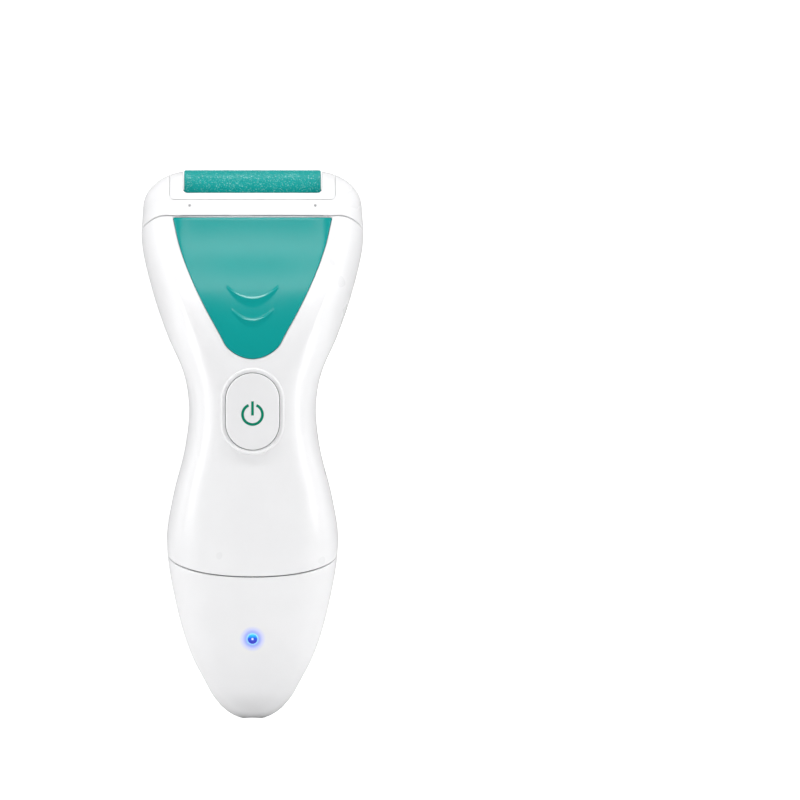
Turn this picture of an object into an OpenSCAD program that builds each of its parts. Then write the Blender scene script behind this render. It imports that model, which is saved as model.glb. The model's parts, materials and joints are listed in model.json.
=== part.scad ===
// Electric callus remover: a rechargeable hand-held foot file with a lift-off
// abrasive roller, a geared motor in the head and two cells in the handle.
// X runs across the roller, the button faces -Y and +Z points up to the roller.
// The origin is the centre of the underside of the object's box.

/* [Body] */
// Height of the roller's top above the tip of the handle
total_h = 168; // [168:0.5:169]
// Thickness of the moulded shells
wall = 2.2; // [2:0.1:2.4]
// Gap that shows as a dark line where two shells meet
seam_gap = 0.34; // [0.3:0.02:0.4]
// Height of the head seam at the front
head_seam_z = 153.6; // [153.4:0.1:153.8]
// Height of the end cap seam, level with the handle's axis
cap_seam_z = 50.6; // [49:0.2:52]

/* [Roller] */
// Radius over the abrasive
roller_r = 7.5; // [7.3:0.1:7.6]
// Length of the abrasive sleeve
roller_w = 42; // [41.6:0.1:42.2]
// Radius of the steel axle
axle_r = 1.5; // [1.5:0.05:1.6]

/* [Gears] */
// Tooth module of the whole train
gear_module = 0.8; // [0.8:0.01:0.8]
// Teeth on the motor pinion
pinion_teeth = 10; // [10:1:10]
// Teeth on the large wheel of the compound gear
wheel_teeth = 24; // [24:1:24]
// Teeth on the small wheel of the compound gear
small_teeth = 12; // [12:1:12]
// Teeth on the idler
idler_teeth = 20; // [20:1:20]
// Teeth on the roller's gear
roller_teeth = 12; // [12:1:12]
// Play between two teeth in mesh, along the pitch circle
backlash = 0.24; // [0.2:0.02:0.3]

/* [Button] */
// Width of the push button
button_w = 16.3; // [16:0.1:16.5]
// Height of the push button
button_h = 23.3; // [23:0.1:23.5]
// Width of the raised ring round the button
bezel_w = 19.4; // [19.2:0.1:19.6]
// Height of the button's middle
button_z = 93.8; // [93:0.2:94.4]
// Travel of the button
button_travel = 0.8; // [0.6:0.1:0.9]

/* [Power] */
// Radius of one rechargeable cell
cell_r = 7.1; // [7:0.05:7.2]
// Length of one cell
cell_h = 50; // [49:0.5:50]
// Radius of the charging jack's centre pin
pin_r = 0.65; // [0.65:0.01:0.66]

/* [Hidden] */
$fn = 64;

// ---------- Outline of the body, as [height, value] points of smooth curves ----------

half_width_line = [
    [0, 10.6], [5, 11.5], [9.5, 13.7], [19, 18.6], [34, 23.2], [55, 26.2], [68, 24.3],
    [83, 20.6], [95, 19.4], [105, 20.9], [117, 26], [131.5, 30.9], [146, 34], [157, 33.6]
];
front_line = [
    [0, -8.2], [10, -10.3], [25, -14], [40, -16], [53, -17], [70, -18.6], [82, -20.3],
    [95, -21.3], [105, -21.3], [115, -19.6], [130, -14.3], [145, -6.4], [157, -1.4]
];
back_line = [
    [0, 8.2], [10, 10.3], [25, 14.7], [40, 16.6], [53, 15.4], [70, 11.2], [82, 8.6],
    [95, 6.6], [105, 7], [115, 10.6], [130, 18], [145, 25.2], [157, 30]
];
// The front face is a shield between two creases: where the creases lie, as a share
// of the half width, how far they lie behind the middle, as a share of the half
// depth, and how suddenly the face turns towards them.
crease_line = [[108, 0.6], [124, 0.72], [138, 0.82], [152, 0.88], [167, 0.93]];
crease_depth_line = [[108, 0.08], [126, 0.15], [140, 0.29], [153, 0.465], [167, 0.6]];
face_power_line = [[108, 2.2], [130, 3.5], [153, 5]];
// How square the rest of the cross-section is: 2 is an ellipse
squareness_line = [[0, 2], [40, 2.15], [95, 2.25], [120, 2.5], [140, 3], [153, 3.8], [167, 3.6]];

// Foremost point, on the button, and rearmost point, on the back of the head
front_most = -22.4;
back_most = 29.94;
// Moves the object so that its box is centred on the Z axis
frame_y = -(front_most + back_most) / 2;

tip_round_h = 8;
tip_flat_h = 0.35;
dome_start_z = 156.5;
dome_top_z = 167.8;
dome_side_r = 15;
dome_front_r = 9;
dome_lean = 0.3;

function slope(p, i, j) = (p[j][1] - p[i][1]) / (p[j][0] - p[i][0]);
function tangent(p, i) =
    i == 0 ? slope(p, 0, 1)
    : i == len(p) - 1 ? slope(p, i - 1, i)
    : (slope(p, i - 1, i) + slope(p, i, i + 1)) / 2;
function span_of(p, z, i = 0) = i >= len(p) - 2 || z < p[i + 1][0] ? i : span_of(p, z, i + 1);
// A smooth curve through the points of a line, held level past its ends
function curve(p, z) =
    z <= p[0][0] ? p[0][1]
    : z >= p[len(p) - 1][0] ? p[len(p) - 1][1]
    : let (
        i = span_of(p, z),
        h = p[i + 1][0] - p[i][0],
        t = (z - p[i][0]) / h
    )
    (2 * t * t * t - 3 * t * t + 1) * p[i][1] + (t * t * t - 2 * t * t + t) * h * tangent(p, i)
        + (3 * t * t - 2 * t * t * t) * p[i + 1][1] + (t * t * t - t * t) * h * tangent(p, i + 1);
function smooth_step(a, b, z) = let (t = min(1, max(0, (z - a) / (b - a)))) t * t * (3 - 2 * t);

// The handle's tip and the top of the head are rounded off by quarter ellipses
function tip_factor(z) =
    let (t = min(1, (z + tip_flat_h) / (tip_round_h + tip_flat_h))) sqrt(1 - (1 - t) * (1 - t));
function dome_drop(z) =
    let (t = min(1, max(0, (z - dome_start_z) / (dome_top_z - dome_start_z)))) 1 - sqrt(1 - t * t);

function half_width(z) = curve(half_width_line, z) * tip_factor(z) - dome_side_r * dome_drop(z);
function front_y(z) =
    curve(front_line, z) * tip_factor(z) + dome_front_r * dome_drop(z)
    + dome_lean * max(0, z - dome_start_z);
function back_y(z) = curve(back_line, z) * tip_factor(z) - dome_front_r * dome_drop(z);

// ---------- Cross-sections ----------

// Share of the head's depth that its back is flattened by, so that it lies steady
back_land = 0.015;
face_steps = [0, 0.22, 0.42, 0.6, 0.75, 0.87, 0.95, 1];
face_n = len(face_steps) - 1;
side_n = 5;
rear_n = 8;
half_n = face_n + side_n + rear_n;
ring_n = 2 * half_n;

// y of the front face at x, on a section with half width a and ends f and b
function face_y(x, z, a, f, b) =
    let (
        n = curve(squareness_line, z),
        mid = (f + b) / 2,
        deep = (b - f) / 2,
        c = a * curve(crease_line, z),
        u = min(1, abs(x) / a),
        soft = mid - deep * pow(1 - pow(u, n), 1 / n),
        shield = f + deep * curve(crease_depth_line, z) * pow(abs(x) / c, curve(face_power_line, z)),
        w = smooth_step(106, 130, z)
    )
    soft + (shield - soft) * w;

// Point i of 0 (front middle) to half_n (rear middle) on the +X half
function half_point(i, z, a, f, b) =
    let (
        n = curve(squareness_line, z),
        mid = (f + b) / 2,
        deep = (b - f) / 2,
        c = a * curve(crease_line, z),
        w = smooth_step(106, 130, z)
    )
    i <= face_n
        ? let (x = c * face_steps[i]) [x, face_y(x, z, a, f, b)]
    : i <= face_n + side_n
        ? let (
            t = (i - face_n) / side_n,
            start = asin(pow(c / a, n / 2)),
            turn = start + (90 - start) * t,
            soft = [a * pow(sin(turn), 2 / n), mid - deep * pow(cos(turn), 2 / n)],
            crease = [c, f + deep * curve(crease_depth_line, z)],
            knee = [a - (a - c) * 0.12, crease[1] + (mid - crease[1]) * 0.45],
            hard = (1 - t) * (1 - t) * crease + 2 * t * (1 - t) * knee + t * t * [a, mid]
        )
        soft + (hard - soft) * w
    : let (
        turn = 90 * (i - face_n - side_n) / rear_n,
        land = 1 - back_land * smooth_step(135, 145, z)
    )
        [a * pow(cos(turn), 2 / n), mid + deep * min(1, pow(sin(turn), 2 / n) / land)];

// Point k of a whole ring, seen from above anticlockwise from the front middle,
// inset by t from the outer surface
function ring_point(k, z, t = 0) =
    let (
        i = k <= half_n ? k : ring_n - k,
        p = half_point(i, z, half_width(z) - t, front_y(z) + t, back_y(z) - t)
    )
    [k <= half_n ? p[0] : -p[0], p[1] + frame_y, z];

// ---------- Seams ----------

seam_level_y = 3;
seam_fall = 0.5;
cap_seam_rise = 0.44;
// The head seam is level at the front and falls along the sides; y is as on the outline
function head_seam(y) =
    head_seam_z - seam_fall * (y - seam_level_y) * smooth_step(seam_level_y - 4, seam_level_y + 4, y);
function cap_seam(y) = cap_seam_z + cap_seam_rise * y;
function seam_z(k, high, z, again = 4) =
    again == 0 ? z
    : let (y = ring_point(k, z)[1] - frame_y) seam_z(k, high, high ? head_seam(y) : cap_seam(y), again - 1);
seam_bend_ys = [-40, -1, 0.4, 1.7, 3, 4.3, 5.6, 7, 50];
head_seam_zs = [for (k = [0:ring_n - 1]) seam_z(k, true, 150)];
cap_seam_zs = [for (k = [0:ring_n - 1]) seam_z(k, false, 50)];

// ---------- Closed shells from a chain of rings ----------

module ring_chain(rings, wraps) {
    n = len(rings[0]);
    m = len(rings);
    last = wraps ? m - 1 : m - 2;
    bands = [for (j = [0:last], k = [0:n - 1]) each let (
        a = j * n + k,
        b = j * n + (k + 1) % n,
        c = ((j + 1) % m) * n + (k + 1) % n,
        d = ((j + 1) % m) * n + k
    ) [[a, d, c], [a, c, b]]];
    ends = wraps ? [] : [[for (k = [0:n - 1]) k], [for (k = [n - 1:-1:0]) (m - 1) * n + k]];
    polyhedron(points = [for (r = rings) each r], faces = concat(bands, ends), convexity = 6);
}

function ring_between(lows, highs, t, inset) =
    [for (k = [0:ring_n - 1]) ring_point(k, lows[k] + (highs[k] - lows[k]) * t, inset)];
function level_ring(z, inset) = [for (k = [0:ring_n - 1]) ring_point(k, z, inset)];
function shifted(zs, d) = [for (z = zs) z + d];

// Everything between two heights that are measured from the head seam
module about_head_seam(low, high) {
    last = len(seam_bend_ys) - 1;
    slab_x(-45, 45) polygon(concat(
        [for (y = seam_bend_ys) [y, head_seam(y) + low]],
        [for (i = [last:-1:0]) [seam_bend_ys[i], head_seam(seam_bend_ys[i]) + high]]
    ));
}

housing_rings = 30;
module housing_tube() {
    lows = shifted(cap_seam_zs, seam_gap / 2);
    highs = shifted(head_seam_zs, 2);
    difference() {
        ring_chain(concat(
            [for (j = [0:housing_rings]) ring_between(lows, highs, j / housing_rings, 0)],
            [for (j = [housing_rings:-1:0]) ring_between(lows, highs, j / housing_rings, wall)]
        ), true);
        about_head_seam(-seam_gap / 2, 20);
    }
}

cap_floor_z = 2.6;
cap_rings = 14;
// Rings crowd towards the tip, where the shape turns fastest
function crowd(t) = t * t;
module cap_vessel() {
    highs = shifted(cap_seam_zs, -seam_gap / 2);
    lows = [for (z = highs) 0];
    floors = [for (z = highs) cap_floor_z];
    ring_chain(concat(
        [for (j = [0:cap_rings]) ring_between(lows, highs, crowd(j / cap_rings), 0)],
        [for (j = [cap_rings:-1:0]) ring_between(floors, highs, crowd(j / cap_rings), wall)]
    ), false);
}

dome_rings = 12;
// The head's outer surface as one solid, from well below the seam to its top
module head_dome(inset = 0) {
    lows = shifted(head_seam_zs, -9);
    highs = [for (z = lows) dome_top_z - 0.01];
    ring_chain(
        [for (j = [0:dome_rings]) ring_between(lows, highs, 1 - crowd(1 - j / dome_rings), inset)],
        false
    );
}

// A flat ring of rubber along a seam, h high on either side of it
module gasket(zs, h) {
    ring_chain([
        for (at = [[0.7, -h], [0.7, h], [1.8, h], [1.8, -h]])
            [for (k = [0:ring_n - 1])
                let (p = ring_point(k, zs[k], at[0])) [p[0], p[1], zs[k] + at[1]]]
    ], true);
}

// ---------- Helpers for exact solids ----------

// Outline coordinates: y as on the outline above, moved with the frame
module on_outline() { translate([0, frame_y, 0]) children(); }
// A cylinder along X from x0 to x1 at outline y and height z
module rod_x(r, x0, x1, y, z) {
    translate([x0, y + frame_y, z]) rotate([0, 90, 0]) cylinder(r = r, h = x1 - x0);
}
// A flat outline drawn in (y, z), extruded along X from x0 to x1
module slab_x(x0, x1) {
    translate([x0, frame_y, 0]) rotate([90, 0, 90]) linear_extrude(height = x1 - x0) children();
}
// A cylinder along -Y from y0 forwards to y1
module rod_y(r, y0, y1, x, z) {
    translate([x, y0 + frame_y, z]) rotate([90, 0, 0]) cylinder(r = r, h = y0 - y1);
}
module slab_y(y0, y1, z) {
    translate([0, y0 + frame_y, z]) rotate([90, 0, 0]) linear_extrude(height = y0 - y1) children();
}
module rod_z(r, z0, z1, x, y) {
    translate([x, y + frame_y, z0]) cylinder(r = r, h = z1 - z0);
}
module block(x0, x1, y0, y1, z0, z1) {
    translate([x0, y0 + frame_y, z0]) cube([x1 - x0, y1 - y0, z1 - z0]);
}
module stadium(w, h) {
    r = w / 2;
    translate([-r, -(h / 2 - r)]) square([w, h - w]);
    for (s = [-1, 1]) translate([0, s * (h / 2 - r)]) circle(r = r);
}
module both_sides() { for (s = [-1, 1]) scale_x(s) children(); }
module scale_x(s) { if (s < 0) mirror([1, 0, 0]) children(); else children(); }
// A pan-head screw pointing along +Z with its head's top at the origin
module screw(r, length, head_r, head_h) {
    difference() {
        cylinder(r = head_r, h = head_h);
        for (a = [0, 90]) rotate(a) translate([-head_r * 0.7, -0.2, -0.1]) cube([head_r * 1.4, 0.4, head_h * 0.5 + 0.1]);
    }
    translate([0, 0, head_h]) cylinder(r = r, h = length);
}

// ---------- Roller cassette ----------

roller_y = 14;
roller_z = total_h - roller_r;
cradle_x = 25.3;
slide_gap = 0.35;
opening_x = roller_w / 2 + slide_gap;
lip_z = 160.7;
cradle_seat_z = 158.4;
tub_front = 5;
tub_back = 22.5;
tub_front_chamfer = 2.2;
tub_back_chamfer = 5;
tub_z = 150.9;
pocket_r = roller_r + 0.7;
bush_r = 2.5;
bush_left_w = 2;
gear_pocket_end = 24.3;
lip_corner_r = 1.5;

// The tub under the roller, seen from above, grown by g on every side
module tub_prism(g, z0, z1) {
    x = cradle_x + g;
    f = tub_front - g;
    b = tub_back + g;
    half = [
        [x - tub_front_chamfer, f], [x, f + tub_front_chamfer],
        [x, b - tub_back_chamfer], [x - tub_back_chamfer, b]
    ];
    translate([0, frame_y, z0]) linear_extrude(height = z1 - z0)
        polygon(concat(half, [for (i = [3:-1:0]) [-half[i][0], half[i][1]]]));
}

// ---------- Gear train, in the (y, z) plane of the outline ----------

function pitch_r(teeth) = gear_module * teeth / 2;
mesh_slack = 0.05;
roller_at = [roller_y, roller_z];
idler_lean = 14;
idler_at = roller_at - (pitch_r(roller_teeth) + pitch_r(idler_teeth) + mesh_slack)
    * [sin(idler_lean), cos(idler_lean)];
motor_at = [0.6, 123.9];
// Where a circle of radius ra about a meets one of radius rb about b, on the front side
function circle_meet(a, ra, b, rb) =
    let (
        d = norm(b - a),
        along = (ra * ra - rb * rb + d * d) / (2 * d),
        off = sqrt(ra * ra - along * along),
        u = (b - a) / d
    )
    a + along * u + off * [-u[1], u[0]];
compound_at = circle_meet(
    motor_at, pitch_r(pinion_teeth) + pitch_r(wheel_teeth) + mesh_slack,
    idler_at, pitch_r(small_teeth) + pitch_r(idler_teeth) + mesh_slack
);
function heading(a, b) = atan2(b[1] - a[1], b[0] - a[0]);
// Each gear's phase is the angle of one of its teeth. A tooth of one gear stands in a
// gap of the next, wherever the pair meets.
idler_phase = heading(idler_at, roller_at);
roller_gear_phase = heading(roller_at, idler_at) + 180 / roller_teeth;
idler_share = (heading(idler_at, compound_at) - idler_phase) / (360 / idler_teeth);
small_phase = heading(compound_at, idler_at)
    + (idler_share - floor(idler_share)) * 360 / small_teeth + 180 / small_teeth;
wheel_phase = heading(compound_at, motor_at);
pinion_phase = heading(motor_at, compound_at) + 180 / pinion_teeth;

pressure_angle = 20;
addendum = 0.8;
dedendum = 1.15;
flank_n = 4;
function involute(a) = tan(a) * 180 / PI - a;
// One tooth's outline as [radius, half angle] pairs from the root to the tip
function flank(teeth) =
    let (
        r = pitch_r(teeth),
        base = r * cos(pressure_angle),
        root = r - dedendum * gear_module,
        tip = r + addendum * gear_module,
        half = 90 / teeth - backlash / 4 / r * 180 / PI + involute(pressure_angle),
        low = max(base, root)
    )
    concat(
        root < base ? [[root, half]] : [],
        [for (i = [0:flank_n])
            let (q = low + (tip - low) * i / flank_n) [q, half - involute(acos(min(1, base / q)))]]
    );
module gear_outline(teeth, phase) {
    f = flank(teeth);
    n = len(f);
    polygon([for (t = [0:teeth - 1]) each let (a = phase + t * 360 / teeth) concat(
        [for (i = [0:n - 1]) f[i][0] * [cos(a - f[i][1]), sin(a - f[i][1])]],
        [for (i = [n - 1:-1:0]) f[i][0] * [cos(a + f[i][1]), sin(a + f[i][1])]]
    )]);
}
module gear(teeth, phase, x0, x1, at) {
    slab_x(x0, x1) translate(at) gear_outline(teeth, phase);
}

// Planes of the train along X
cell_plane = 21.6;
gear_face = 2.3;
wheel_x = 16.2;
wheel_face = 3.2;
plate_x = 13.2;
plate_t = 1.6;
gear_pin_r = 1;
running_gap = 0.04;
pin_end_x = 25.1;

// ---------- Motor ----------

can_r = 10.2;
can_flat = 7.7;
can_x0 = -12;
can_x1 = 13;
can_wall = 0.9;
shaft_r = 1;
bell_x0 = -14.2;

module can_outline(r, flat) {
    intersection() {
        circle(r = r);
        square([2 * flat, 2 * r + 1], center = true);
    }
}

// ---------- Front panel ----------

panel_top_z = head_seam_z - 0.5;
panel_bottom_z = 109.8;
panel_round_h = 5;
panel_line = [[109.8, 6.6], [115, 8.8], [125, 14.2], [134, 18.5], [143.7, 22.1], [153, 24.3]];
panel_rows = 16;
panel_cols = 14;
panel_proud = 0.25;
panel_sunk = 0.85;
function panel_half(z) =
    let (t = min(1, max(0.02, (z - panel_bottom_z) / panel_round_h)))
    curve(panel_line, z) * sqrt(1 - (1 - t) * (1 - t));
function skin_y(x, z) = face_y(x, z, half_width(z), front_y(z), back_y(z)) + frame_y;
// Rows crowd at the rounded bottom; the outline grows by g on every side
function panel_row_z(j, g) =
    let (t = j / panel_rows)
    panel_bottom_z - g + (panel_top_z + g - panel_bottom_z + g) * pow(t, 1.5);
function panel_grid(g, out) = [
    for (j = [0:panel_rows], i = [0:panel_cols])
        let (
            z = panel_row_z(j, g),
            inner_z = panel_bottom_z + (z - panel_bottom_z + g) * (panel_top_z - panel_bottom_z)
                / (panel_top_z - panel_bottom_z + 2 * g),
            x = (2 * i / panel_cols - 1) * (panel_half(inner_z) + g)
        )
        [x, skin_y(x, min(z, panel_top_z)) - out, z]
];
module panel_plate(g, proud, sunk) {
    n = panel_cols + 1;
    rows = panel_rows;
    total = n * (rows + 1);
    face_tris = [for (j = [0:rows - 1], i = [0:panel_cols - 1])
        each let (a = j * n + i, b = a + 1, c = a + n + 1, d = a + n) [[a, c, b], [a, d, c]]];
    rim = concat(
        [for (i = [0:panel_cols - 1]) i],
        [for (j = [0:rows - 1]) j * n + panel_cols],
        [for (i = [panel_cols:-1:1]) rows * n + i],
        [for (j = [rows:-1:1]) j * n]
    );
    polyhedron(
        points = concat(panel_grid(g, proud), panel_grid(g, -sunk)),
        faces = concat(
            face_tris,
            [for (t = face_tris) [t[0] + total, t[2] + total, t[1] + total]],
            [for (k = [0:len(rim) - 1]) each
                let (a = rim[k], b = rim[(k + 1) % len(rim)])
                [[a, b, b + total], [a, b + total, a + total]]]
        ),
        convexity = 4
    );
}

// A raised smile on the panel: an arc thick in its middle and pointed at its ends
smile_n = 14;
smiles = [[8.1, 132, 3.9, 2.5], [6.5, 124.8, 3.5, 1.9]];
module smile(half_w, tip_z, drop, thick) {
    rise = 0.75;
    function arc_z(x) = tip_z - drop * (1 - pow(x / half_w, 2));
    points = [for (i = [0:smile_n]) each let (
        x = half_w * (2 * i / smile_n - 1),
        share = max(0.03, 1 - pow(x / half_w, 2)),
        z = arc_z(x),
        low = z - thick * share
    ) [
        [x, skin_y(x, z) - panel_proud + 0.5, z + 0.1],
        [x, skin_y(x, z) - panel_proud - rise * share, z],
        [x, skin_y(x, low) - panel_proud + 0.5, low]
    ]];
    faces = concat(
        [for (i = [0:smile_n - 1], k = [0:2]) each let (
            a = i * 3 + k, b = i * 3 + (k + 1) % 3, c = b + 3, d = a + 3
        ) [[a, c, b], [a, d, c]]],
        [[0, 1, 2], [smile_n * 3 + 2, smile_n * 3 + 1, smile_n * 3]]
    );
    polyhedron(points = points, faces = faces, convexity = 4);
}

// ---------- Electrics ----------

cell_x = 7.4;
cell_y = -3.6;
cell_z = 38;
board_y = -13.8;
board_t = 1.6;
board_screw_x = -7;
board_screw_zs = [80.5, 103];
bezel_front_y = -22.3;
bezel_crown_r = 30;
collar_w = bezel_w - 1.4;
ledge_y = -19.6;
button_crown_r = 45;
stem_y = -17.5;
plunger_y = -18.7;
led_z = 24.5;
led_y = front_y(led_z);
jack_r = 3.6;
jack_bore_r = 1.95;
pin_z = 1.1;
jack_floor_z = 9.6;
pin_base_r = 1;

// ---------- Sub-parts ----------

boss_x = 8;
boss_y = 18.6;
boss_low_z = 139;
boss_top_z = 148.5;
module main_housing() {
    color("white") difference() {
        union() {
            housing_tube();
            both_sides() rod_z(2.6, boss_low_z, boss_top_z, boss_x, boss_y);
        }
        panel_plate(0.2, 2, panel_sunk + 0.1);
        slab_y(-10, -30, button_z) stadium(collar_w + 0.1, collar_w + 0.1 + button_h - button_w);
        slab_y(ledge_y, -30, button_z) stadium(bezel_w + 0.1, bezel_w + 0.1 + button_h - button_w);
        both_sides() rod_z(1.05, boss_low_z + 1.5, boss_top_z + 1, boss_x, boss_y);
        // Room for the large gear wheel
        rod_x(pitch_r(wheel_teeth) + 1.1, wheel_x - 0.4, wheel_x + wheel_face + 0.4, compound_at[0], compound_at[1]);
    }
}

well_wall = 1.2;
screw_r = 0.98;
well_screw_x = 27.9;
well_screw_ys = [9.5, 19];
module cavity_cut() {
    intersection() {
        head_dome(wall);
        block(-40, 40, -30, 40, 130, 155.2);
    }
}
module head_shell() {
    color("white") difference() {
        head_dome();
        about_head_seam(-20, seam_gap / 2);
        cavity_cut();
        block(-well_x, well_x, -30, 50, cradle_seat_z, 180);
        tub_prism(slide_gap + well_wall, well_floor_z - 0.1, cradle_seat_z + 0.1);
        both_sides() for (y = well_screw_ys) rod_z(1, 150, 161, well_screw_x, y);
        both_sides() rod_y(0.45, 0.1, -20, 19.2, 156.9);
    }
}

module end_cap() {
    color("white") difference() {
        cap_vessel();
        rod_z(jack_r - 0.6, -1, 4, 0, 0);
        rod_y(1.75, 0, -30, 0, led_z);
    }
}

module front_panel() {
    color("darkturquoise") {
        panel_plate(0, panel_proud, panel_sunk);
        for (s = smiles) smile(s[0], s[1], s[2], s[3]);
    }
}

module head_gasket() {
    color("gray") intersection() {
        gasket(head_seam_zs, 2);
        about_head_seam(-seam_gap / 2, seam_gap / 2);
    }
}
module cap_gasket() { color("gray") gasket(cap_seam_zs, seam_gap / 2 - 0.05); }

// A round column whose foremost line is at outline y, to crown what it is crossed with
module crown(r, front) {
    translate([0, front + r + frame_y, button_z - 20]) cylinder(r = r, h = 40, $fn = 360);
}
module button_bezel() {
    color("whitesmoke") intersection() {
        difference() {
            union() {
                slab_y(ledge_y, -25, button_z) stadium(bezel_w, bezel_w + button_h - button_w);
                slab_y(-17.7, -20, button_z) stadium(collar_w, collar_w + button_h - button_w);
            }
            slab_y(-17, -26, button_z) stadium(button_w + 0.6, button_h + 0.6);
        }
        crown(bezel_crown_r, bezel_front_y);
    }
}

module power_button() {
    color("whitesmoke") {
        intersection() {
            slab_y(-19.4, -25, button_z) stadium(button_w, button_h);
            crown(button_crown_r, front_most);
        }
        slab_y(plunger_y, -19.4, button_z) circle(r = 2);
    }
}
module power_symbol() {
    ring_r = 3.3;
    stroke = 0.65;
    gap_angle = 23;
    symbol_z = button_z - 0.9;
    color("seagreen") intersection() {
        slab_y(-21.5, -25, symbol_z) {
            difference() {
                circle(r = ring_r);
                circle(r = ring_r - stroke);
                polygon([[0, 0], 9 * [-sin(gap_angle), cos(gap_angle)], 9 * [sin(gap_angle), cos(gap_angle)]]);
            }
            translate([-stroke / 2, -0.3]) square([stroke, 4.3]);
        }
        difference() {
            crown(button_crown_r + 0.05, front_most - 0.05);
            crown(button_crown_r, front_most);
        }
    }
}
module switch_stem() { color("black") rod_y(1.65, stem_y + 0.2, plunger_y, 0, button_z); }
module tact_switch() {
    color("dimgray") difference() {
        block(-3, 3, -17.9, -15.4, button_z - 3, button_z + 3);
        rod_y(1.75, -16.1, -19, 0, button_z);
    }
}
module main_board() {
    color("green") difference() {
        block(-11, 11, board_y - board_t, board_y, 77, 106);
        for (z = board_screw_zs) rod_y(1.1, -11, -17, board_screw_x, z);
    }
}
module board_components() {
    color("black") {
        block(-6.5, -1.5, -16.6, -15.4, 83.5, 88.5);
        block(1.5, 6.5, -16.4, -15.4, 79, 84);
        rod_y(2, -15.4, -17.4, 7.5, 102.5);
    }
}
module board_screws() {
    color("silver") for (z = board_screw_zs)
        translate([board_screw_x, -16.4 + frame_y, z]) rotate([-90, 0, 0]) screw(1, 4, 1.9, 1);
}

saddle_xs = [-9, 6];
module chassis() {
    color("lightgray") {
        difference() {
            union() {
                block(-11, 11, -12.4, -11, 50, 110);
                for (z = board_screw_zs) rod_y(1.9, -12, -13.8, board_screw_x, z);
            }
            for (z = board_screw_zs) rod_y(1.02, -10, -14, board_screw_x, z);
        }
        both_sides() {
            block(14.7, 15.7, -8, 1, 36, 80);
            block(14.7, 15.7, -12.4, -7.9, 62, 80);
            block(10.9, 14.8, -12.4, -11, 62, 80);
        }
        block(-14.8, 14.8, -8, 4, 36, 37.4);
        block(-11, 11, -11.1, 3, 108.6, 110);
        difference() {
            for (x = saddle_xs) block(x, x + 1.4, -11, 5, 110, 117.5);
            rod_x(can_r + 0.02, -20, 20, motor_at[0], motor_at[1]);
        }
    }
}
module cell(s) {
    rod_z(cell_r, cell_z, cell_z + cell_h, s * cell_x, cell_y);
    rod_z(2.6, cell_z + cell_h, cell_z + cell_h + 0.9, s * cell_x, cell_y);
}
module battery_cell_left() { color("steelblue") cell(-1); }
module battery_cell_right() { color("steelblue") cell(1); }
module cell_link() { color("silver") block(-11, 11, cell_y - 2.5, cell_y + 2.5, 37.6, cell_z); }
module cell_tab(s) {
    z = cell_z + cell_h + 0.9;
    block(s * cell_x - 2.5, s * cell_x + 2.5, cell_y - 6, cell_y + 2.5, z, z + 0.4);
}
module cell_tab_plus() { color("silver") cell_tab(1); }
module cell_tab_minus() { color("silver") cell_tab(-1); }

module charge_board() {
    color("green") difference() {
        block(-8.5, 8.5, -4.4, -2.8, 14, 34);
        for (x = [-1.27, 1.27]) rod_y(0.4, -2, -6, x, led_z);
    }
}
module status_led() {
    color("aqua") {
        rod_y(1.5, -5.2, -8.6, 0, led_z);
        rod_y(1.9, -4.4, -5.2, 0, led_z);
    }
}
// A light pipe with a domed front end and a cup for the lamp at its back
module led_lens() {
    dome_r = 2.15;
    length = 4.9;
    side_r = 1.7;
    centre = length - sqrt(dome_r * dome_r - side_r * side_r);
    start = asin((length - centre) / dome_r);
    color("royalblue") translate([0, led_y + 5.2 + frame_y, led_z]) rotate([90, 0, 0]) rotate_extrude()
        polygon(concat(
            [[0, 0.8], [1.55, 0.8], [1.55, 0], [side_r, 0]],
            [for (i = [0:7]) let (a = start + (90 - start) * i / 8) dome_r * [cos(a), sin(a)] + [0, centre]],
            [[0, centre + dome_r]]
        ));
}
module dc_jack() {
    color("black") difference() {
        union() {
            rod_z(jack_r - 0.7, 0.5, 2.6, 0, 0);
            rod_z(jack_r, 2.6, 12.6, 0, 0);
        }
        rod_z(jack_bore_r, 0, jack_floor_z, 0, 0);
        rod_z(pin_base_r, jack_floor_z - 1, 11.6, 0, 0);
    }
}
module jack_pin() {
    color("gold") {
        rod_z(pin_r, pin_z, jack_floor_z, 0, 0);
        rod_z(pin_base_r, jack_floor_z, 11.6, 0, 0);
    }
}

// Tub-shaped liner of the head that the cassette drops into
well_floor_z = 148.8;
well_x = cradle_x + slide_gap;
module cassette_well() {
    color("gainsboro") difference() {
        union() {
            tub_prism(slide_gap + well_wall, well_floor_z, cradle_seat_z - 0.1);
            block(-29.2, 29.2, 7.5, 21, 153.9, 155.1);
        }
        tub_prism(slide_gap, well_floor_z + 1.5, 170);
        block(21, 25.2, idler_at[0] - 9.3, idler_at[0] + 9.3, 140, 160);
        block(plate_x - 0.3, 21.5, idler_at[0] - 2.8, idler_at[0] + 2.8, 140, 150.8);
        both_sides() for (y = well_screw_ys) {
            rod_z(1.1, 150, 160, well_screw_x, y);
            rod_z(1.75, 152, 153.9, well_screw_x, y);
        }
        both_sides() rod_z(1.15, 140, 160, boss_x, boss_y);
        both_sides() block(well_x - 1, well_x + 2, 12.4, 15.6, 151.6, 154.2);
    }
}
module well_screws() {
    color("silver") both_sides() for (y = well_screw_ys)
        translate([well_screw_x, y + frame_y, 152.9]) screw(screw_r, 7, 1.6, 1);
}
module body_screws() {
    color("silver") both_sides() translate([boss_x, boss_y + frame_y, 151.5]) mirror([0, 0, 1])
        screw(1, 9.5, 2, 1.2);
}
module catch_springs() {
    color("silver") both_sides() {
        block(well_x + well_wall, well_x + well_wall + 0.3, 12.6, 15.4, 150, 153.8);
        block(well_x - 0.2, well_x + well_wall, 12.8, 15.2, 152.2, 153.4);
    }
}

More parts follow.
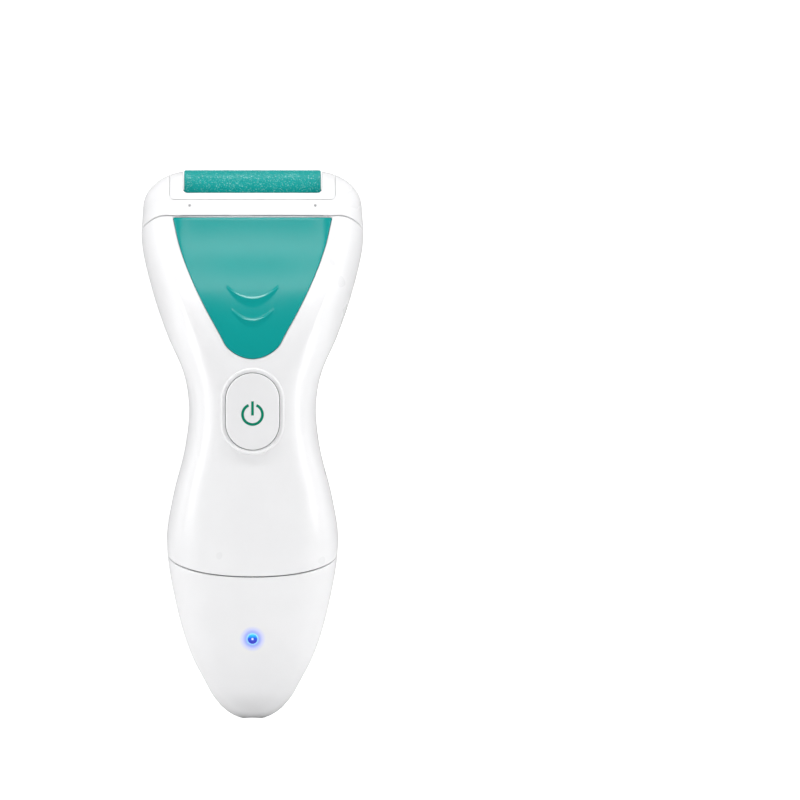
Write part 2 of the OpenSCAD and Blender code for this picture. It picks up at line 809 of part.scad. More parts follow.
module cradle_block() {
    block(-cradle_x, cradle_x, -30, 50, cradle_seat_z + slide_gap, 180);
    tub_prism(0, tub_z, 170);
}
module roller_cradle() {
    color("white") difference() {
        intersection() {
            head_dome();
            cradle_block();
        }
        // Opening over the roller, with rounded lower corners
        slab_y(60, -60, 0) {
            translate([-opening_x, lip_z + lip_corner_r]) square([2 * opening_x, 20]);
            translate([-opening_x + lip_corner_r, lip_z]) square([2 * (opening_x - lip_corner_r), 20]);
            for (s = [-1, 1]) translate([s * (opening_x - lip_corner_r), lip_z + lip_corner_r])
                circle(r = lip_corner_r);
        }
        rod_x(pocket_r, -opening_x, opening_x, roller_y, roller_z);
        rod_x(pitch_r(roller_teeth) + 1.3, 10, gear_pocket_end, roller_y, roller_z);
        rod_x(bush_r, 20, 30, roller_y, roller_z);
        rod_x(bush_r, -cradle_x - 1, -cradle_x + bush_left_w, roller_y, roller_z);
        rod_x(axle_r + 0.4, -30, 0, roller_y, roller_z);
        rod_x(pitch_r(idler_teeth) + 1.2, 21, gear_pocket_end, idler_at[0], idler_at[1]);
        block(21, gear_pocket_end, idler_at[0] - 9.2, idler_at[0] + 9.2, 140, idler_at[1] + 4);
        both_sides() rod_z(2.5, 140, 151.9, boss_x, boss_y);
        both_sides() block(cradle_x - 0.5, cradle_x + 1, 12.2, 15.8, 151.8, 153.8);
    }
}
module bush(x0, x1) {
    difference() {
        rod_x(bush_r, x0, x1, roller_y, roller_z);
        rod_x(axle_r + running_gap, x0 - 1, x1 + 1, roller_y, roller_z);
    }
}
module bush_left() { color("darkgoldenrod") bush(-cradle_x, -cradle_x + bush_left_w); }
module bush_right() { color("darkgoldenrod") bush(gear_pocket_end, cradle_x); }
module roller_axle() { color("silver") rod_x(axle_r, -25.1, 25.1, roller_y, roller_z); }
module roller_core() {
    color("white") difference() {
        rod_x(roller_r - 1.1, -20.8, 20.8, roller_y, roller_z);
        rod_x(axle_r, -30, 30, roller_y, roller_z);
    }
}
module roller_sleeve() {
    color("teal") difference() {
        rod_x(roller_r, -roller_w / 2, roller_w / 2, roller_y, roller_z);
        rod_x(roller_r - 1.1, -30, 30, roller_y, roller_z);
    }
}
module roller_gear() {
    color("ivory") difference() {
        gear(roller_teeth, roller_gear_phase, cell_plane, cell_plane + gear_face, roller_at);
        rod_x(axle_r, 20, 30, roller_y, roller_z);
    }
}

module idler_gear() {
    color("ivory") difference() {
        gear(idler_teeth, idler_phase, cell_plane, cell_plane + gear_face, idler_at);
        rod_x(gear_pin_r + running_gap, 20, 30, idler_at[0], idler_at[1]);
    }
}
module idler_pin() { color("silver") rod_x(gear_pin_r, plate_x, pin_end_x, idler_at[0], idler_at[1]); }
module compound_gear() {
    color("ivory") difference() {
        union() {
            gear(wheel_teeth, wheel_phase, wheel_x, wheel_x + wheel_face, compound_at);
            gear(small_teeth, small_phase, wheel_x + wheel_face - 0.01, cell_plane + gear_face, compound_at);
        }
        rod_x(gear_pin_r + running_gap, 10, 30, compound_at[0], compound_at[1]);
    }
}
module compound_pin() {
    color("silver") rod_x(gear_pin_r, plate_x, pin_end_x, compound_at[0], compound_at[1]);
}
module pin_clips() {
    color("dimgray") for (at = [idler_at, compound_at]) difference() {
        rod_x(2, 24.2, 24.7, at[0], at[1]);
        rod_x(gear_pin_r, 20, 30, at[0], at[1]);
    }
}
motor_screw_r = 6;
module gear_plate() {
    color("lightgray") difference() {
        union() {
            slab_x(plate_x, plate_x + plate_t) {
                translate(motor_at) circle(r = 8.6);
                translate(compound_at) circle(r = 5);
                translate(idler_at) circle(r = 2.4);
                for (pair = [[motor_at, compound_at, 6, 5], [compound_at, idler_at, 4, 2.2]])
                    let (u = (pair[1] - pair[0]) / norm(pair[1] - pair[0]), v = [-u[1], u[0]])
                    polygon([
                        pair[0] + pair[2] * v, pair[0] - pair[2] * v,
                        pair[1] - pair[3] * v, pair[1] + pair[3] * v
                    ]);
            }
            rod_x(2.2, plate_x, cell_plane - 0.3, idler_at[0], idler_at[1]);
            rod_x(2.2, plate_x, wheel_x - 0.3, compound_at[0], compound_at[1]);
        }
        rod_x(gear_pin_r, 10, 30, idler_at[0], idler_at[1]);
        rod_x(gear_pin_r, 10, 30, compound_at[0], compound_at[1]);
        rod_x(3.15, 10, 20, motor_at[0], motor_at[1]);
        for (s = [-1, 1]) rod_x(1.05, 10, 20, motor_at[0], motor_at[1] + s * motor_screw_r);
    }
}
module motor_screws() {
    color("silver") for (s = [-1, 1])
        translate([plate_x + plate_t + 0.7, motor_at[0] + frame_y, motor_at[1] + s * motor_screw_r])
            rotate([0, -90, 0]) screw(0.9, 3, 1.5, 0.7);
}
module motor_pinion() {
    color("goldenrod") difference() {
        gear(pinion_teeth, pinion_phase, 15.6, 20, motor_at);
        rod_x(shaft_r, 10, 30, motor_at[0], motor_at[1]);
    }
}
module motor_shaft() { color("silver") rod_x(shaft_r, -15.4, 20.4, motor_at[0], motor_at[1]); }
module motor_armature() {
    color("peru") difference() {
        union() {
            rod_x(6.2, -6, 9, motor_at[0], motor_at[1]);
            rod_x(2.6, -11, -6, motor_at[0], motor_at[1]);
        }
        rod_x(shaft_r, -20, 30, motor_at[0], motor_at[1]);
    }
}
module motor_magnets() {
    color("dimgray") for (s = [-1, 1]) slab_x(-6, 9) translate(motor_at) intersection() {
        difference() {
            circle(r = can_r - can_wall);
            circle(r = 6.6);
        }
        translate([0, s * 7.5]) square([9, 7], center = true);
    }
}
module motor_can() {
    color("silver") difference() {
        union() {
            slab_x(can_x0, can_x1) translate(motor_at) can_outline(can_r, can_flat);
            rod_x(3.1, can_x1, plate_x + plate_t, motor_at[0], motor_at[1]);
        }
        slab_x(can_x0 - 1, can_x1 - can_wall) translate(motor_at)
            can_outline(can_r - can_wall, can_flat - can_wall);
        rod_x(shaft_r + running_gap, 5, 20, motor_at[0], motor_at[1]);
        for (s = [-1, 1]) rod_x(0.92, 11, 20, motor_at[0], motor_at[1] + s * motor_screw_r);
    }
}
module motor_end_bell() {
    color("white") difference() {
        union() {
            slab_x(bell_x0, can_x0) translate(motor_at) can_outline(can_r - 0.3, can_flat - 0.3);
            for (s = [-1, 1]) translate([bell_x0 - 2.4, motor_at[0] - 0.3 + frame_y, motor_at[1] + s * 6 - 1])
                cube([2.5, 0.6, 2]);
        }
        rod_x(shaft_r + running_gap, -30, 0, motor_at[0], motor_at[1]);
    }
}

// ---------- Internal leads: thin tubes swept along a few round points ----------

lead_r = 0.65;
lead_sides = 8;
lead_steps = 3;
function bend(p, i, t) =
    let (a = p[max(0, i - 1)], b = p[i], c = p[i + 1], d = p[min(len(p) - 1, i + 2)])
    0.5 * (2 * b + (c - a) * t + (2 * a - 5 * b + 4 * c - d) * t * t + (3 * b - a - 3 * c + d) * t * t * t);
function route(p) = concat(
    [for (i = [0:len(p) - 2], s = [0:lead_steps - 1]) bend(p, i, s / lead_steps)], [p[len(p) - 1]]
);
module lead(p) {
    r = route(p);
    n = len(r);
    ring_chain([for (i = [0:n - 1]) let (
        d = r[min(n - 1, i + 1)] - r[max(0, i - 1)],
        w = d / norm(d),
        side = abs(w[2]) < 0.8 ? [0, 0, 1] : [1, 0, 0],
        u = cross(w, side) / norm(cross(w, side)),
        v = cross(w, u)
    ) [for (k = [0:lead_sides - 1]) let (a = 360 * k / lead_sides)
        r[i] + lead_r * (cos(a) * u + sin(a) * v) + [0, frame_y, 0]]], false);
}
motor_lead_red_route = [[-17.4, 0.6, 130], [-18.4, -2, 126], [-17.6, -6, 118], [-15, -14, 111], [-5, -17, 105]];
motor_lead_black_route = [[-17.4, 0.6, 118], [-17, -3, 114], [-14.5, -8, 112], [-9.5, -14, 111], [-1, -17, 104.5]];
charge_lead_red_route = [[4, -5.1, 33], [4, -8.9, 35], [3.6, -12, 40], [3, -13.1, 48], [3, -13.1, 79]];
charge_lead_black_route = [for (p = charge_lead_red_route) [-p[0], p[1], p[2]]];
module motor_lead_red() { color("red") lead(motor_lead_red_route); }
module motor_lead_black() { color("black") lead(motor_lead_black_route); }
module charge_lead_red() { color("red") lead(charge_lead_red_route); }
module charge_lead_black() { color("black") lead(charge_lead_black_route); }

// ---------- Assembly ----------

main_housing();
head_shell();
end_cap();
front_panel();
head_gasket();
cap_gasket();
button_bezel();
power_button();
power_symbol();
switch_stem();
tact_switch();
main_board();
board_components();
board_screws();
chassis();
battery_cell_left();
battery_cell_right();
cell_link();
cell_tab_plus();
cell_tab_minus();
charge_board();
status_led();
led_lens();
dc_jack();
jack_pin();
cassette_well();
well_screws();
body_screws();
catch_springs();
roller_cradle();
bush_left();
bush_right();
roller_axle();
roller_core();
roller_sleeve();
roller_gear();
idler_gear();
idler_pin();
compound_gear();
compound_pin();
pin_clips();
gear_plate();
motor_screws();
motor_pinion();
motor_shaft();
motor_armature();
motor_magnets();
motor_can();
motor_end_bell();
motor_lead_red();
motor_lead_black();
charge_lead_red();
charge_lead_black();
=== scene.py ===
# %% [markdown]
# # An electric callus remover
# This notebook dresses a finished mechanical model of a hand-held foot file. The mechanical model
# gives the true sizes and the joints. Here each outer piece is made again with a smooth surface,
# and every piece gets a material. All lengths are metres, +Z runs up the handle to the roller,
# and the push button faces -Y.

# %% Load the mechanical frame
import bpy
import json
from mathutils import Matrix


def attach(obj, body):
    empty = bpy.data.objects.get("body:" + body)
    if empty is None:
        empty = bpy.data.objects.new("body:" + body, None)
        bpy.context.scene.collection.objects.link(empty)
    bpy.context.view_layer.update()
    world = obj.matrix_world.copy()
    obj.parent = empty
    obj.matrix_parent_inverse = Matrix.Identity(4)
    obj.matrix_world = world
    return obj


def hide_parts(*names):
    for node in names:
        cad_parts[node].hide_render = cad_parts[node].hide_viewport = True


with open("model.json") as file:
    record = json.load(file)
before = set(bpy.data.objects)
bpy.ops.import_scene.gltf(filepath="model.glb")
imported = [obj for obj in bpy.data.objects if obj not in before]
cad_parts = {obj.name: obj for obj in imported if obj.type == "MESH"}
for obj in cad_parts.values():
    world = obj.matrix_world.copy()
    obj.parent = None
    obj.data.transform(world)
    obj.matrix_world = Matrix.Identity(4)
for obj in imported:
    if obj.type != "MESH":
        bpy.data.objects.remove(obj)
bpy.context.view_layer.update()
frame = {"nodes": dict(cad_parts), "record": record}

import json
import math
import bpy
import bmesh
from mathutils import Vector, noise
from mathutils.geometry import delaunay_2d_cdt

MM = 0.001

# %% [markdown]
# ## The outline of the handle
# The shells are loft shapes. Four curves say how wide the body is and where its front and back
# lie at every height. A designer would draw the same four curves over a side and a front sketch.

# %% Smooth curves through a few points
HALF_WIDTH = [
    (0, 10.6), (5, 11.5), (9.5, 13.7), (19, 18.6), (34, 23.2), (55, 26.2), (68, 24.3),
    (83, 20.6), (95, 19.4), (105, 20.9), (117, 26), (131.5, 30.9), (146, 34), (157, 33.6),
]
FRONT = [
    (0, -8.2), (10, -10.3), (25, -14), (40, -16), (53, -17), (70, -18.6), (82, -20.3),
    (95, -21.3), (105, -21.3), (115, -19.6), (130, -14.3), (145, -6.4), (157, -1.4),
]
BACK = [
    (0, 8.2), (10, 10.3), (25, 14.7), (40, 16.6), (53, 15.4), (70, 11.2), (82, 8.6),
    (95, 6.6), (105, 7), (115, 10.6), (130, 18), (145, 25.2), (157, 30),
]
CREASE = [(108, 0.6), (124, 0.72), (138, 0.82), (152, 0.88), (167, 0.93)]
CREASE_DEPTH = [(108, 0.08), (126, 0.15), (140, 0.29), (153, 0.465), (167, 0.6)]
FACE_POWER = [(108, 2.2), (130, 3.5), (153, 5)]
CREASE_BEGINS, CREASE_FULL = 106, 130
SQUARENESS = [(0, 2), (40, 2.15), (95, 2.25), (120, 2.5), (140, 3), (153, 3.8), (167, 3.6)]


def slope(points, i, j):
    return (points[j][1] - points[i][1]) / (points[j][0] - points[i][0])


def tangent(points, i):
    if i == 0:
        return slope(points, 0, 1)
    if i == len(points) - 1:
        return slope(points, i - 1, i)
    return (slope(points, i - 1, i) + slope(points, i, i + 1)) / 2


def curve(points, z):
    if z <= points[0][0]:
        return points[0][1]
    if z >= points[-1][0]:
        return points[-1][1]
    i = max(k for k in range(len(points) - 1) if points[k][0] <= z)
    h = points[i + 1][0] - points[i][0]
    t = (z - points[i][0]) / h
    a = (2 * t**3 - 3 * t * t + 1) * points[i][1]
    b = (t**3 - 2 * t * t + t) * h * tangent(points, i)
    c = (3 * t * t - 2 * t**3) * points[i + 1][1]
    d = (t**3 - t * t) * h * tangent(points, i + 1)
    return a + b + c + d


def smooth_step(a, b, z):
    t = min(1, max(0, (z - a) / (b - a)))
    return t * t * (3 - 2 * t)


print("waist is", round(2 * min(curve(HALF_WIDTH, z) for z in range(60, 130)), 1), "mm wide")

# %% Rounded tip, domed head and the frame's shift
# The frame's y runs from the middle of the whole depth, button front to head back
DEEPEST_FRONT, DEEPEST_BACK = -22.4, 29.94
FRAME_Y = -(DEEPEST_FRONT + DEEPEST_BACK) / 2
TIP_ROUND, TIP_FLAT = 8, 0.35
DOME_START, DOME_TOP, DOME_IN_X, DOME_IN_Y = 156.5, 167.8, 15, 9


def tip_factor(z):
    t = min(1, max(0, (z + TIP_FLAT) / (TIP_ROUND + TIP_FLAT)))
    return math.sqrt(1 - (1 - t) ** 2)


def dome_drop(z):
    t = min(1, max(0, (z - DOME_START) / (DOME_TOP - DOME_START)))
    return 1 - math.sqrt(max(0, 1 - t * t))


def half_width(z):
    return curve(HALF_WIDTH, z) * tip_factor(z) - DOME_IN_X * dome_drop(z)


def front_y(z):
    return curve(FRONT, z) * tip_factor(z) + DOME_IN_Y * dome_drop(z) + 0.3 * max(0, z - DOME_START)


def back_y(z):
    return curve(BACK, z) * tip_factor(z) - DOME_IN_Y * dome_drop(z)


print("head is", round(2 * half_width(150), 1), "mm wide")

# %% [markdown]
# ## Cross-sections
# Each section is a rounded oblong. Above the waist its front becomes a shield between two soft
# creases, where the coloured panel lies.

# %% One point on a section, and the front face
def face_y(x, z, a, f, b):
    n = curve(SQUARENESS, z)
    mid, deep = (f + b) / 2, (b - f) / 2
    c = a * curve(CREASE, z)
    u = min(1, abs(x) / a)
    soft = mid - deep * (1 - u**n) ** (1 / n)
    hard = f + deep * curve(CREASE_DEPTH, z) * (abs(x) / c) ** curve(FACE_POWER, z)
    return soft + (hard - soft) * smooth_step(CREASE_BEGINS, CREASE_FULL, z)


def skin_y(x, z):
    return face_y(x, z, half_width(z), front_y(z), back_y(z))


FACE_N, SIDE_N, REAR_N = 26, 20, 30
HALF_N = FACE_N + SIDE_N + REAR_N
RING_N = 2 * HALF_N


def half_point(i, z, inset):
    a, f, b = half_width(z) - inset, front_y(z) + inset, back_y(z) - inset
    n = curve(SQUARENESS, z)
    mid, deep = (f + b) / 2, (b - f) / 2
    c = a * curve(CREASE, z)
    if i <= FACE_N:
        x = c * i / FACE_N
        return x, face_y(x, z, a, f, b)
    if i <= FACE_N + SIDE_N:
        t = (i - FACE_N) / SIDE_N
        crease_turn = math.asin((c / a) ** (n / 2))
        turn = crease_turn + (math.pi / 2 - crease_turn) * t
        cos_turn = max(0, math.cos(turn))
        soft = a * math.sin(turn) ** (2 / n), mid - deep * cos_turn ** (2 / n)
        crease = c, f + deep * curve(CREASE_DEPTH, z)
        knee = a - (a - c) * 0.12, crease[1] + (mid - crease[1]) * 0.45
        hard = [
            (1 - t) ** 2 * crease[k] + 2 * t * (1 - t) * knee[k] + t * t * (a, mid)[k]
            for k in (0, 1)
        ]
        w = smooth_step(CREASE_BEGINS, CREASE_FULL, z)
        return tuple(soft[k] + (hard[k] - soft[k]) * w for k in (0, 1))
    turn = math.pi / 2 * (i - FACE_N - SIDE_N) / REAR_N
    cos_turn = max(0, math.cos(turn))
    return a * cos_turn ** (2 / n), mid + deep * math.sin(turn) ** (2 / n)


def ring_point(k, z, inset=0):
    i = k if k <= HALF_N else RING_N - k
    x, y = half_point(i, z, inset)
    return Vector((x if k <= HALF_N else -x, y + FRAME_Y, z)) * MM


print("a section has", RING_N, "points")

# %% [markdown]
# ## Seams
# The handle is moulded as an end cap, a long middle shell and a head. The cap seam slopes across
# the handle, and the head seam is level at the front and falls along the sides.

# %% Where the seams run
SEAM_GAP = 0.34


def head_seam(y):
    return 153.6 - 0.5 * (y - 3) * smooth_step(-1, 7, y)


def cap_seam(y):
    return 50.6 + 0.44 * y


def seam_heights(seam, z):
    heights = []
    for k in range(RING_N):
        h = z
        for _ in range(5):
            h = seam(ring_point(k, h).y / MM - FRAME_Y)
        heights.append(h)
    return heights


head_zs = seam_heights(head_seam, 150)
cap_zs = seam_heights(cap_seam, 50)
print("head seam from", round(min(head_zs), 1), "to", round(max(head_zs), 1), "mm")

# %% [markdown]
# ## Tools for making meshes
# A loft joins rings of points into a closed skin. Its first and last rows turn inwards on a
# small radius, as a moulded edge does, so the seams catch the light.

# %% Turn points and faces into an object
def add_mesh(name, points, faces, sharp=40):
    mesh = bpy.data.meshes.new(name)
    mesh.from_pydata([tuple(p) for p in points], [], faces)
    work = bmesh.new()
    work.from_mesh(mesh)
    bmesh.ops.recalc_face_normals(work, faces=work.faces)
    work.to_mesh(mesh)
    work.free()
    mesh.polygons.foreach_set("use_smooth", [True] * len(mesh.polygons))
    mesh.set_sharp_from_angle(angle=math.radians(sharp))
    obj = bpy.data.objects.new(name, mesh)
    bpy.context.scene.collection.objects.link(obj)
    return obj


def join_rings(rings, wrap):
    n = len(rings[0])
    points = [p for ring in rings for p in ring]
    last = len(rings) if wrap else len(rings) - 1
    faces = []
    for j in range(last):
        for k in range(n):
            a, b = j * n + k, j * n + (k + 1) % n
            c = ((j + 1) % len(rings)) * n
            faces.append((a, b, c + (k + 1) % n, c + k))
    if not wrap:
        faces.append(tuple(range(n)))
        faces.append(tuple(range(len(points) - n, len(points))))
    return points, faces


# Rows of a rounded edge: (how far before the edge, how far in from the skin), in millimetres
def rounded_edge(r, steps=4):
    turns = [math.pi / 2 * i / steps for i in range(steps + 1)]
    return [(r * (1 - math.sin(t)), r * (1 - math.cos(t))) for t in turns]


print("edge rows:", [tuple(round(v, 2) for v in row) for row in rounded_edge(0.4)])

# %% Cut, join or cross two objects
def combine(obj, tool, operation, sharp=40):
    bpy.context.view_layer.update()
    change = obj.modifiers.new("combine", "BOOLEAN")
    change.operation = operation
    change.solver = "EXACT"
    change.object = tool
    graph = bpy.context.evaluated_depsgraph_get()
    mesh = bpy.data.meshes.new_from_object(obj.evaluated_get(graph))
    obj.modifiers.clear()
    old = obj.data
    obj.data = mesh
    bpy.data.meshes.remove(old)
    bpy.data.objects.remove(tool)
    mesh.polygons.foreach_set("use_smooth", [True] * len(mesh.polygons))
    mesh.set_sharp_from_angle(angle=math.radians(sharp))
    return obj


def cut(obj, *tools):
    for tool in tools:
        combine(obj, tool, "DIFFERENCE")
    return obj


# A straight bar whose outline is given in x and z, running along Y between two outline depths
def bar_y(outline, y0, y1):
    front = [Vector((x, y0 + FRAME_Y, z)) * MM for x, z in outline]
    rear = [Vector((x, y1 + FRAME_Y, z)) * MM for x, z in outline]
    return add_mesh("tool", *join_rings([front, rear], False))


def bar_z(outline, z0, z1):
    low = [Vector((x, y + FRAME_Y, z0)) * MM for x, y in outline]
    high = [Vector((x, y + FRAME_Y, z1)) * MM for x, y in outline]
    return add_mesh("tool", *join_rings([low, high], False))


def bar_x(outline, x0, x1):
    left = [Vector((x0, y + FRAME_Y, z)) * MM for y, z in outline]
    right = [Vector((x1, y + FRAME_Y, z)) * MM for y, z in outline]
    return add_mesh("tool", *join_rings([left, right], False))


def disc(r, u, v, n=48):
    return [(u + r * math.cos(math.tau * i / n), v + r * math.sin(math.tau * i / n)) for i in range(n)]


# A box outline from (u0, v0) to (u1, v1) with its corners rounded by r
def rounded_box(u0, v0, u1, v1, r, n=10):
    corners = [(u1 - r, v0 + r, -90), (u1 - r, v1 - r, 0), (u0 + r, v1 - r, 90), (u0 + r, v0 + r, 180)]
    points = []
    for u, v, first_turn in corners:
        for i in range(n + 1):
            a = math.radians(first_turn + 90 * i / n)
            points.append((u + r * math.cos(a), v + r * math.sin(a)))
    return points


def lathe_y(profile, x, z, n=72):
    rings = []
    for r, y in profile:
        ring = []
        for i in range(n):
            a = math.tau * i / n
            ring.append(Vector((x + r * math.cos(a), y + FRAME_Y, z + r * math.sin(a))) * MM)
        rings.append(ring)
    return join_rings(rings, False)


# A piece is tied to its body, and the CAD node it stands for is hidden
def finish_piece(obj, body, node):
    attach(obj, body)
    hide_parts(node)
    return obj


print("a round tool has", len(disc(1, 0, 0)), "sides")

# %% [markdown]
# ## Node groups shared by the materials
# Moulded, rolled and cast surfaces are never perfectly flat. One group gives every material a
# fine grain, and one finds the raised edges that hands polish.

# %% Grain and handling
def new_group(name, inputs, outputs):
    group = bpy.data.node_groups.new(name, "ShaderNodeTree")
    for label, value in inputs:
        socket = group.interface.new_socket(name=label, in_out="INPUT", socket_type="NodeSocketFloat")
        socket.default_value = value
    for label in outputs:
        group.interface.new_socket(name=label, in_out="OUTPUT", socket_type="NodeSocketFloat")
    return group


def add_node(tree, kind, **settings):
    node = tree.nodes.new(kind)
    for key, value in settings.items():
        setattr(node, key, value)
    return node


def make_grain_group():
    group = new_group("surface_grain", [("Scale", 900.0), ("Detail", 3.0)], ["Height", "Value"])
    give = group.nodes.new("NodeGroupInput")
    take = group.nodes.new("NodeGroupOutput")
    place = group.nodes.new("ShaderNodeTexCoord")
    fine = add_node(group, "ShaderNodeTexNoise", noise_dimensions="3D")
    broad = add_node(group, "ShaderNodeTexNoise", noise_dimensions="3D")
    broad.inputs["Scale"].default_value = 60
    spread = group.nodes.new("ShaderNodeMapRange")
    spread.inputs["From Min"].default_value = 0.3
    spread.inputs["From Max"].default_value = 0.7
    link = group.links.new
    link(place.outputs["Object"], fine.inputs["Vector"])
    link(place.outputs["Object"], broad.inputs["Vector"])
    link(give.outputs["Scale"], fine.inputs["Scale"])
    link(give.outputs["Detail"], fine.inputs["Detail"])
    link(broad.outputs["Fac"], spread.inputs["Value"])
    link(fine.outputs["Fac"], take.inputs["Height"])
    link(spread.outputs["Result"], take.inputs["Value"])
    return group


def make_wear_group():
    group = new_group("edge_wear", [("Amount", 1.0)], ["Mask"])
    give = group.nodes.new("NodeGroupInput")
    take = group.nodes.new("NodeGroupOutput")
    shape = group.nodes.new("ShaderNodeNewGeometry")
    edge = group.nodes.new("ShaderNodeMapRange")
    edge.inputs["From Min"].default_value = 0.52
    edge.inputs["From Max"].default_value = 0.62
    times = add_node(group, "ShaderNodeMath", operation="MULTIPLY")
    link = group.links.new
    link(shape.outputs["Pointiness"], edge.inputs["Value"])
    link(edge.outputs["Result"], times.inputs[0])
    link(give.outputs["Amount"], times.inputs[1])
    link(times.outputs["Value"], take.inputs["Mask"])
    return group


grain_group = make_grain_group()
wear_group = make_wear_group()
print("shared groups:", grain_group.name, "and", wear_group.name)

# %% [markdown]
# ## Materials
# Each finish in the record becomes one material. A single colour would look like a drawing, so the
# grain shifts the colour and the roughness a little from place to place, and lifts the surface by
# a few microns. Most also get slightly paler edges, but the new shells and the panel stay clean.

# %% A general finish with grain and rubbed edges
def set_value(shader, **values):
    for label, value in values.items():
        shader.inputs[label.replace("_", " ")].default_value = value


def make_material(name, colour, roughness, metallic=0, coat=0, grain=900, lift=0.02, worn=0.5):
    material = bpy.data.materials.new(name)
    material.use_nodes = True
    tree = material.node_tree
    shader = tree.nodes["Principled BSDF"]
    set_value(shader, Metallic=metallic, Coat_Weight=coat, Coat_Roughness=0.12)
    grain_node = add_node(tree, "ShaderNodeGroup", node_tree=grain_group)
    grain_node.inputs["Scale"].default_value = grain
    wear_node = add_node(tree, "ShaderNodeGroup", node_tree=wear_group)
    wear_node.inputs["Amount"].default_value = worn
    tint = add_node(tree, "ShaderNodeMix", data_type="RGBA")
    tint.inputs["A"].default_value = (*colour, 1)
    tint.inputs["B"].default_value = (*[c * 0.97 for c in colour], 1)
    edge = add_node(tree, "ShaderNodeMix", data_type="RGBA")
    edge.inputs["B"].default_value = (*[min(1, c * 1.08 + 0.01) for c in colour], 1)
    rough = tree.nodes.new("ShaderNodeMapRange")
    rough.inputs["To Min"].default_value = roughness * 0.9
    rough.inputs["To Max"].default_value = roughness * 1.1
    bump = tree.nodes.new("ShaderNodeBump")
    bump.inputs["Strength"].default_value = 1
    bump.inputs["Distance"].default_value = lift * MM
    link = tree.links.new
    link(grain_node.outputs["Value"], tint.inputs["Factor"])
    link(tint.outputs["Result"], edge.inputs["A"])
    link(wear_node.outputs["Mask"], edge.inputs["Factor"])
    link(edge.outputs["Result"], shader.inputs["Base Color"])
    link(grain_node.outputs["Value"], rough.inputs["Value"])
    link(rough.outputs["Result"], shader.inputs["Roughness"])
    link(grain_node.outputs["Height"], bump.inputs["Height"])
    link(bump.outputs["Normal"], shader.inputs["Normal"])
    return material


# The white shells are new and smooth, under a soft coat that blurs the lights into broad bands
def make_white(name):
    material = make_material(name, (0.86, 0.86, 0.87), 0.3, coat=0.6, lift=0.004, worn=0)
    set_value(material.node_tree.nodes["Principled BSDF"], Coat_Roughness=0.25)
    return material


materials = {
    "white_shell": make_white("white_shell"),
    "teal_panel": make_material("teal_panel", (0.0, 0.3, 0.285), 0.2, lift=0.003, worn=0),
    "button_plastic": make_material("button_plastic", (0.83, 0.83, 0.84), 0.36, lift=0.004),
    "green_ink": make_material("green_ink", (0.0, 0.2, 0.115), 0.55),
    "seal_rubber": make_material("seal_rubber", (0.17, 0.17, 0.18), 0.7),
    "black_plastic": make_material("black_plastic", (0.012, 0.012, 0.013), 0.45),
    "magnet": make_material("magnet", (0.05, 0.05, 0.055), 0.5, metallic=0.6),
    "board_green": make_material("board_green", (0.01, 0.12, 0.04), 0.35, coat=0.4),
    "steel": make_material("steel", (0.55, 0.56, 0.58), 0.25, metallic=1, grain=2500),
    "inner_plastic": make_material("inner_plastic", (0.5, 0.51, 0.52), 0.5),
    "gear_plastic": make_material("gear_plastic", (0.75, 0.72, 0.6), 0.42),
    "brass_parts": make_material("brass_parts", (0.6, 0.4, 0.12), 0.28, metallic=1),
    "copper_parts": make_material("copper_parts", (0.55, 0.22, 0.1), 0.3, metallic=1),
    "cell_wrap": make_material("cell_wrap", (0.03, 0.12, 0.38), 0.3, coat=0.3),
    "led_clear": make_material("led_clear", (0.6, 0.75, 1.0), 0.15),
    "red_lead": make_material("red_lead", (0.45, 0.02, 0.015), 0.5),
    "black_lead": make_material("black_lead", (0.012, 0.012, 0.012), 0.5),
}
# The tinted panel and the ink mirror less than bare plastic does
for name, shine in (("teal_panel", 0.33), ("green_ink", 0.05)):
    set_value(materials[name].node_tree.nodes["Principled BSDF"], Specular_IOR_Level=shine)
print(len(materials), "plain finishes")

# %% [markdown]
# The roller's sleeve is a band of mineral grit set in coloured resin. Pale grains stand out of it,
# so a cell pattern picks grains at random for the colour, and the same cells raise the surface.

# %% Abrasive finish
def make_abrasive():
    material = bpy.data.materials.new("abrasive")
    material.use_nodes = True
    tree = material.node_tree
    shader = tree.nodes["Principled BSDF"]
    place = tree.nodes.new("ShaderNodeTexCoord")
    cells = tree.nodes.new("ShaderNodeTexVoronoi")
    cells.inputs["Scale"].default_value = 4000
    pick = tree.nodes.new("ShaderNodeSeparateColor")
    pale = tree.nodes.new("ShaderNodeMapRange")
    pale.inputs["From Min"].default_value = 0.8
    pale.inputs["From Max"].default_value = 1.35
    colour = add_node(tree, "ShaderNodeMix", data_type="RGBA")
    colour.inputs["A"].default_value = (0.0, 0.31, 0.29, 1)
    colour.inputs["B"].default_value = (0.35, 0.75, 0.72, 1)
    bump = tree.nodes.new("ShaderNodeBump")
    bump.inputs["Distance"].default_value = 0.1 * MM
    grain_node = add_node(tree, "ShaderNodeGroup", node_tree=grain_group)
    grain_node.inputs["Scale"].default_value = 1500
    rough = tree.nodes.new("ShaderNodeMapRange")
    rough.inputs["To Min"].default_value = 0.3
    rough.inputs["To Max"].default_value = 0.6
    link = tree.links.new
    link(place.outputs["Object"], cells.inputs["Vector"])
    link(cells.outputs["Color"], pick.inputs["Color"])
    link(pick.outputs["Red"], pale.inputs["Value"])
    link(pale.outputs["Result"], colour.inputs["Factor"])
    link(colour.outputs["Result"], shader.inputs["Base Color"])
    link(grain_node.outputs["Value"], rough.inputs["Value"])
    link(rough.outputs["Result"], shader.inputs["Roughness"])
    set_value(shader, Specular_IOR_Level=0.15, Coat_Roughness=0.15)
    link(pale.outputs["Result"], shader.inputs["Coat Weight"])
    link(pick.outputs["Green"], bump.inputs["Height"])
    link(bump.outputs["Normal"], shader.inputs["Normal"])
    return material


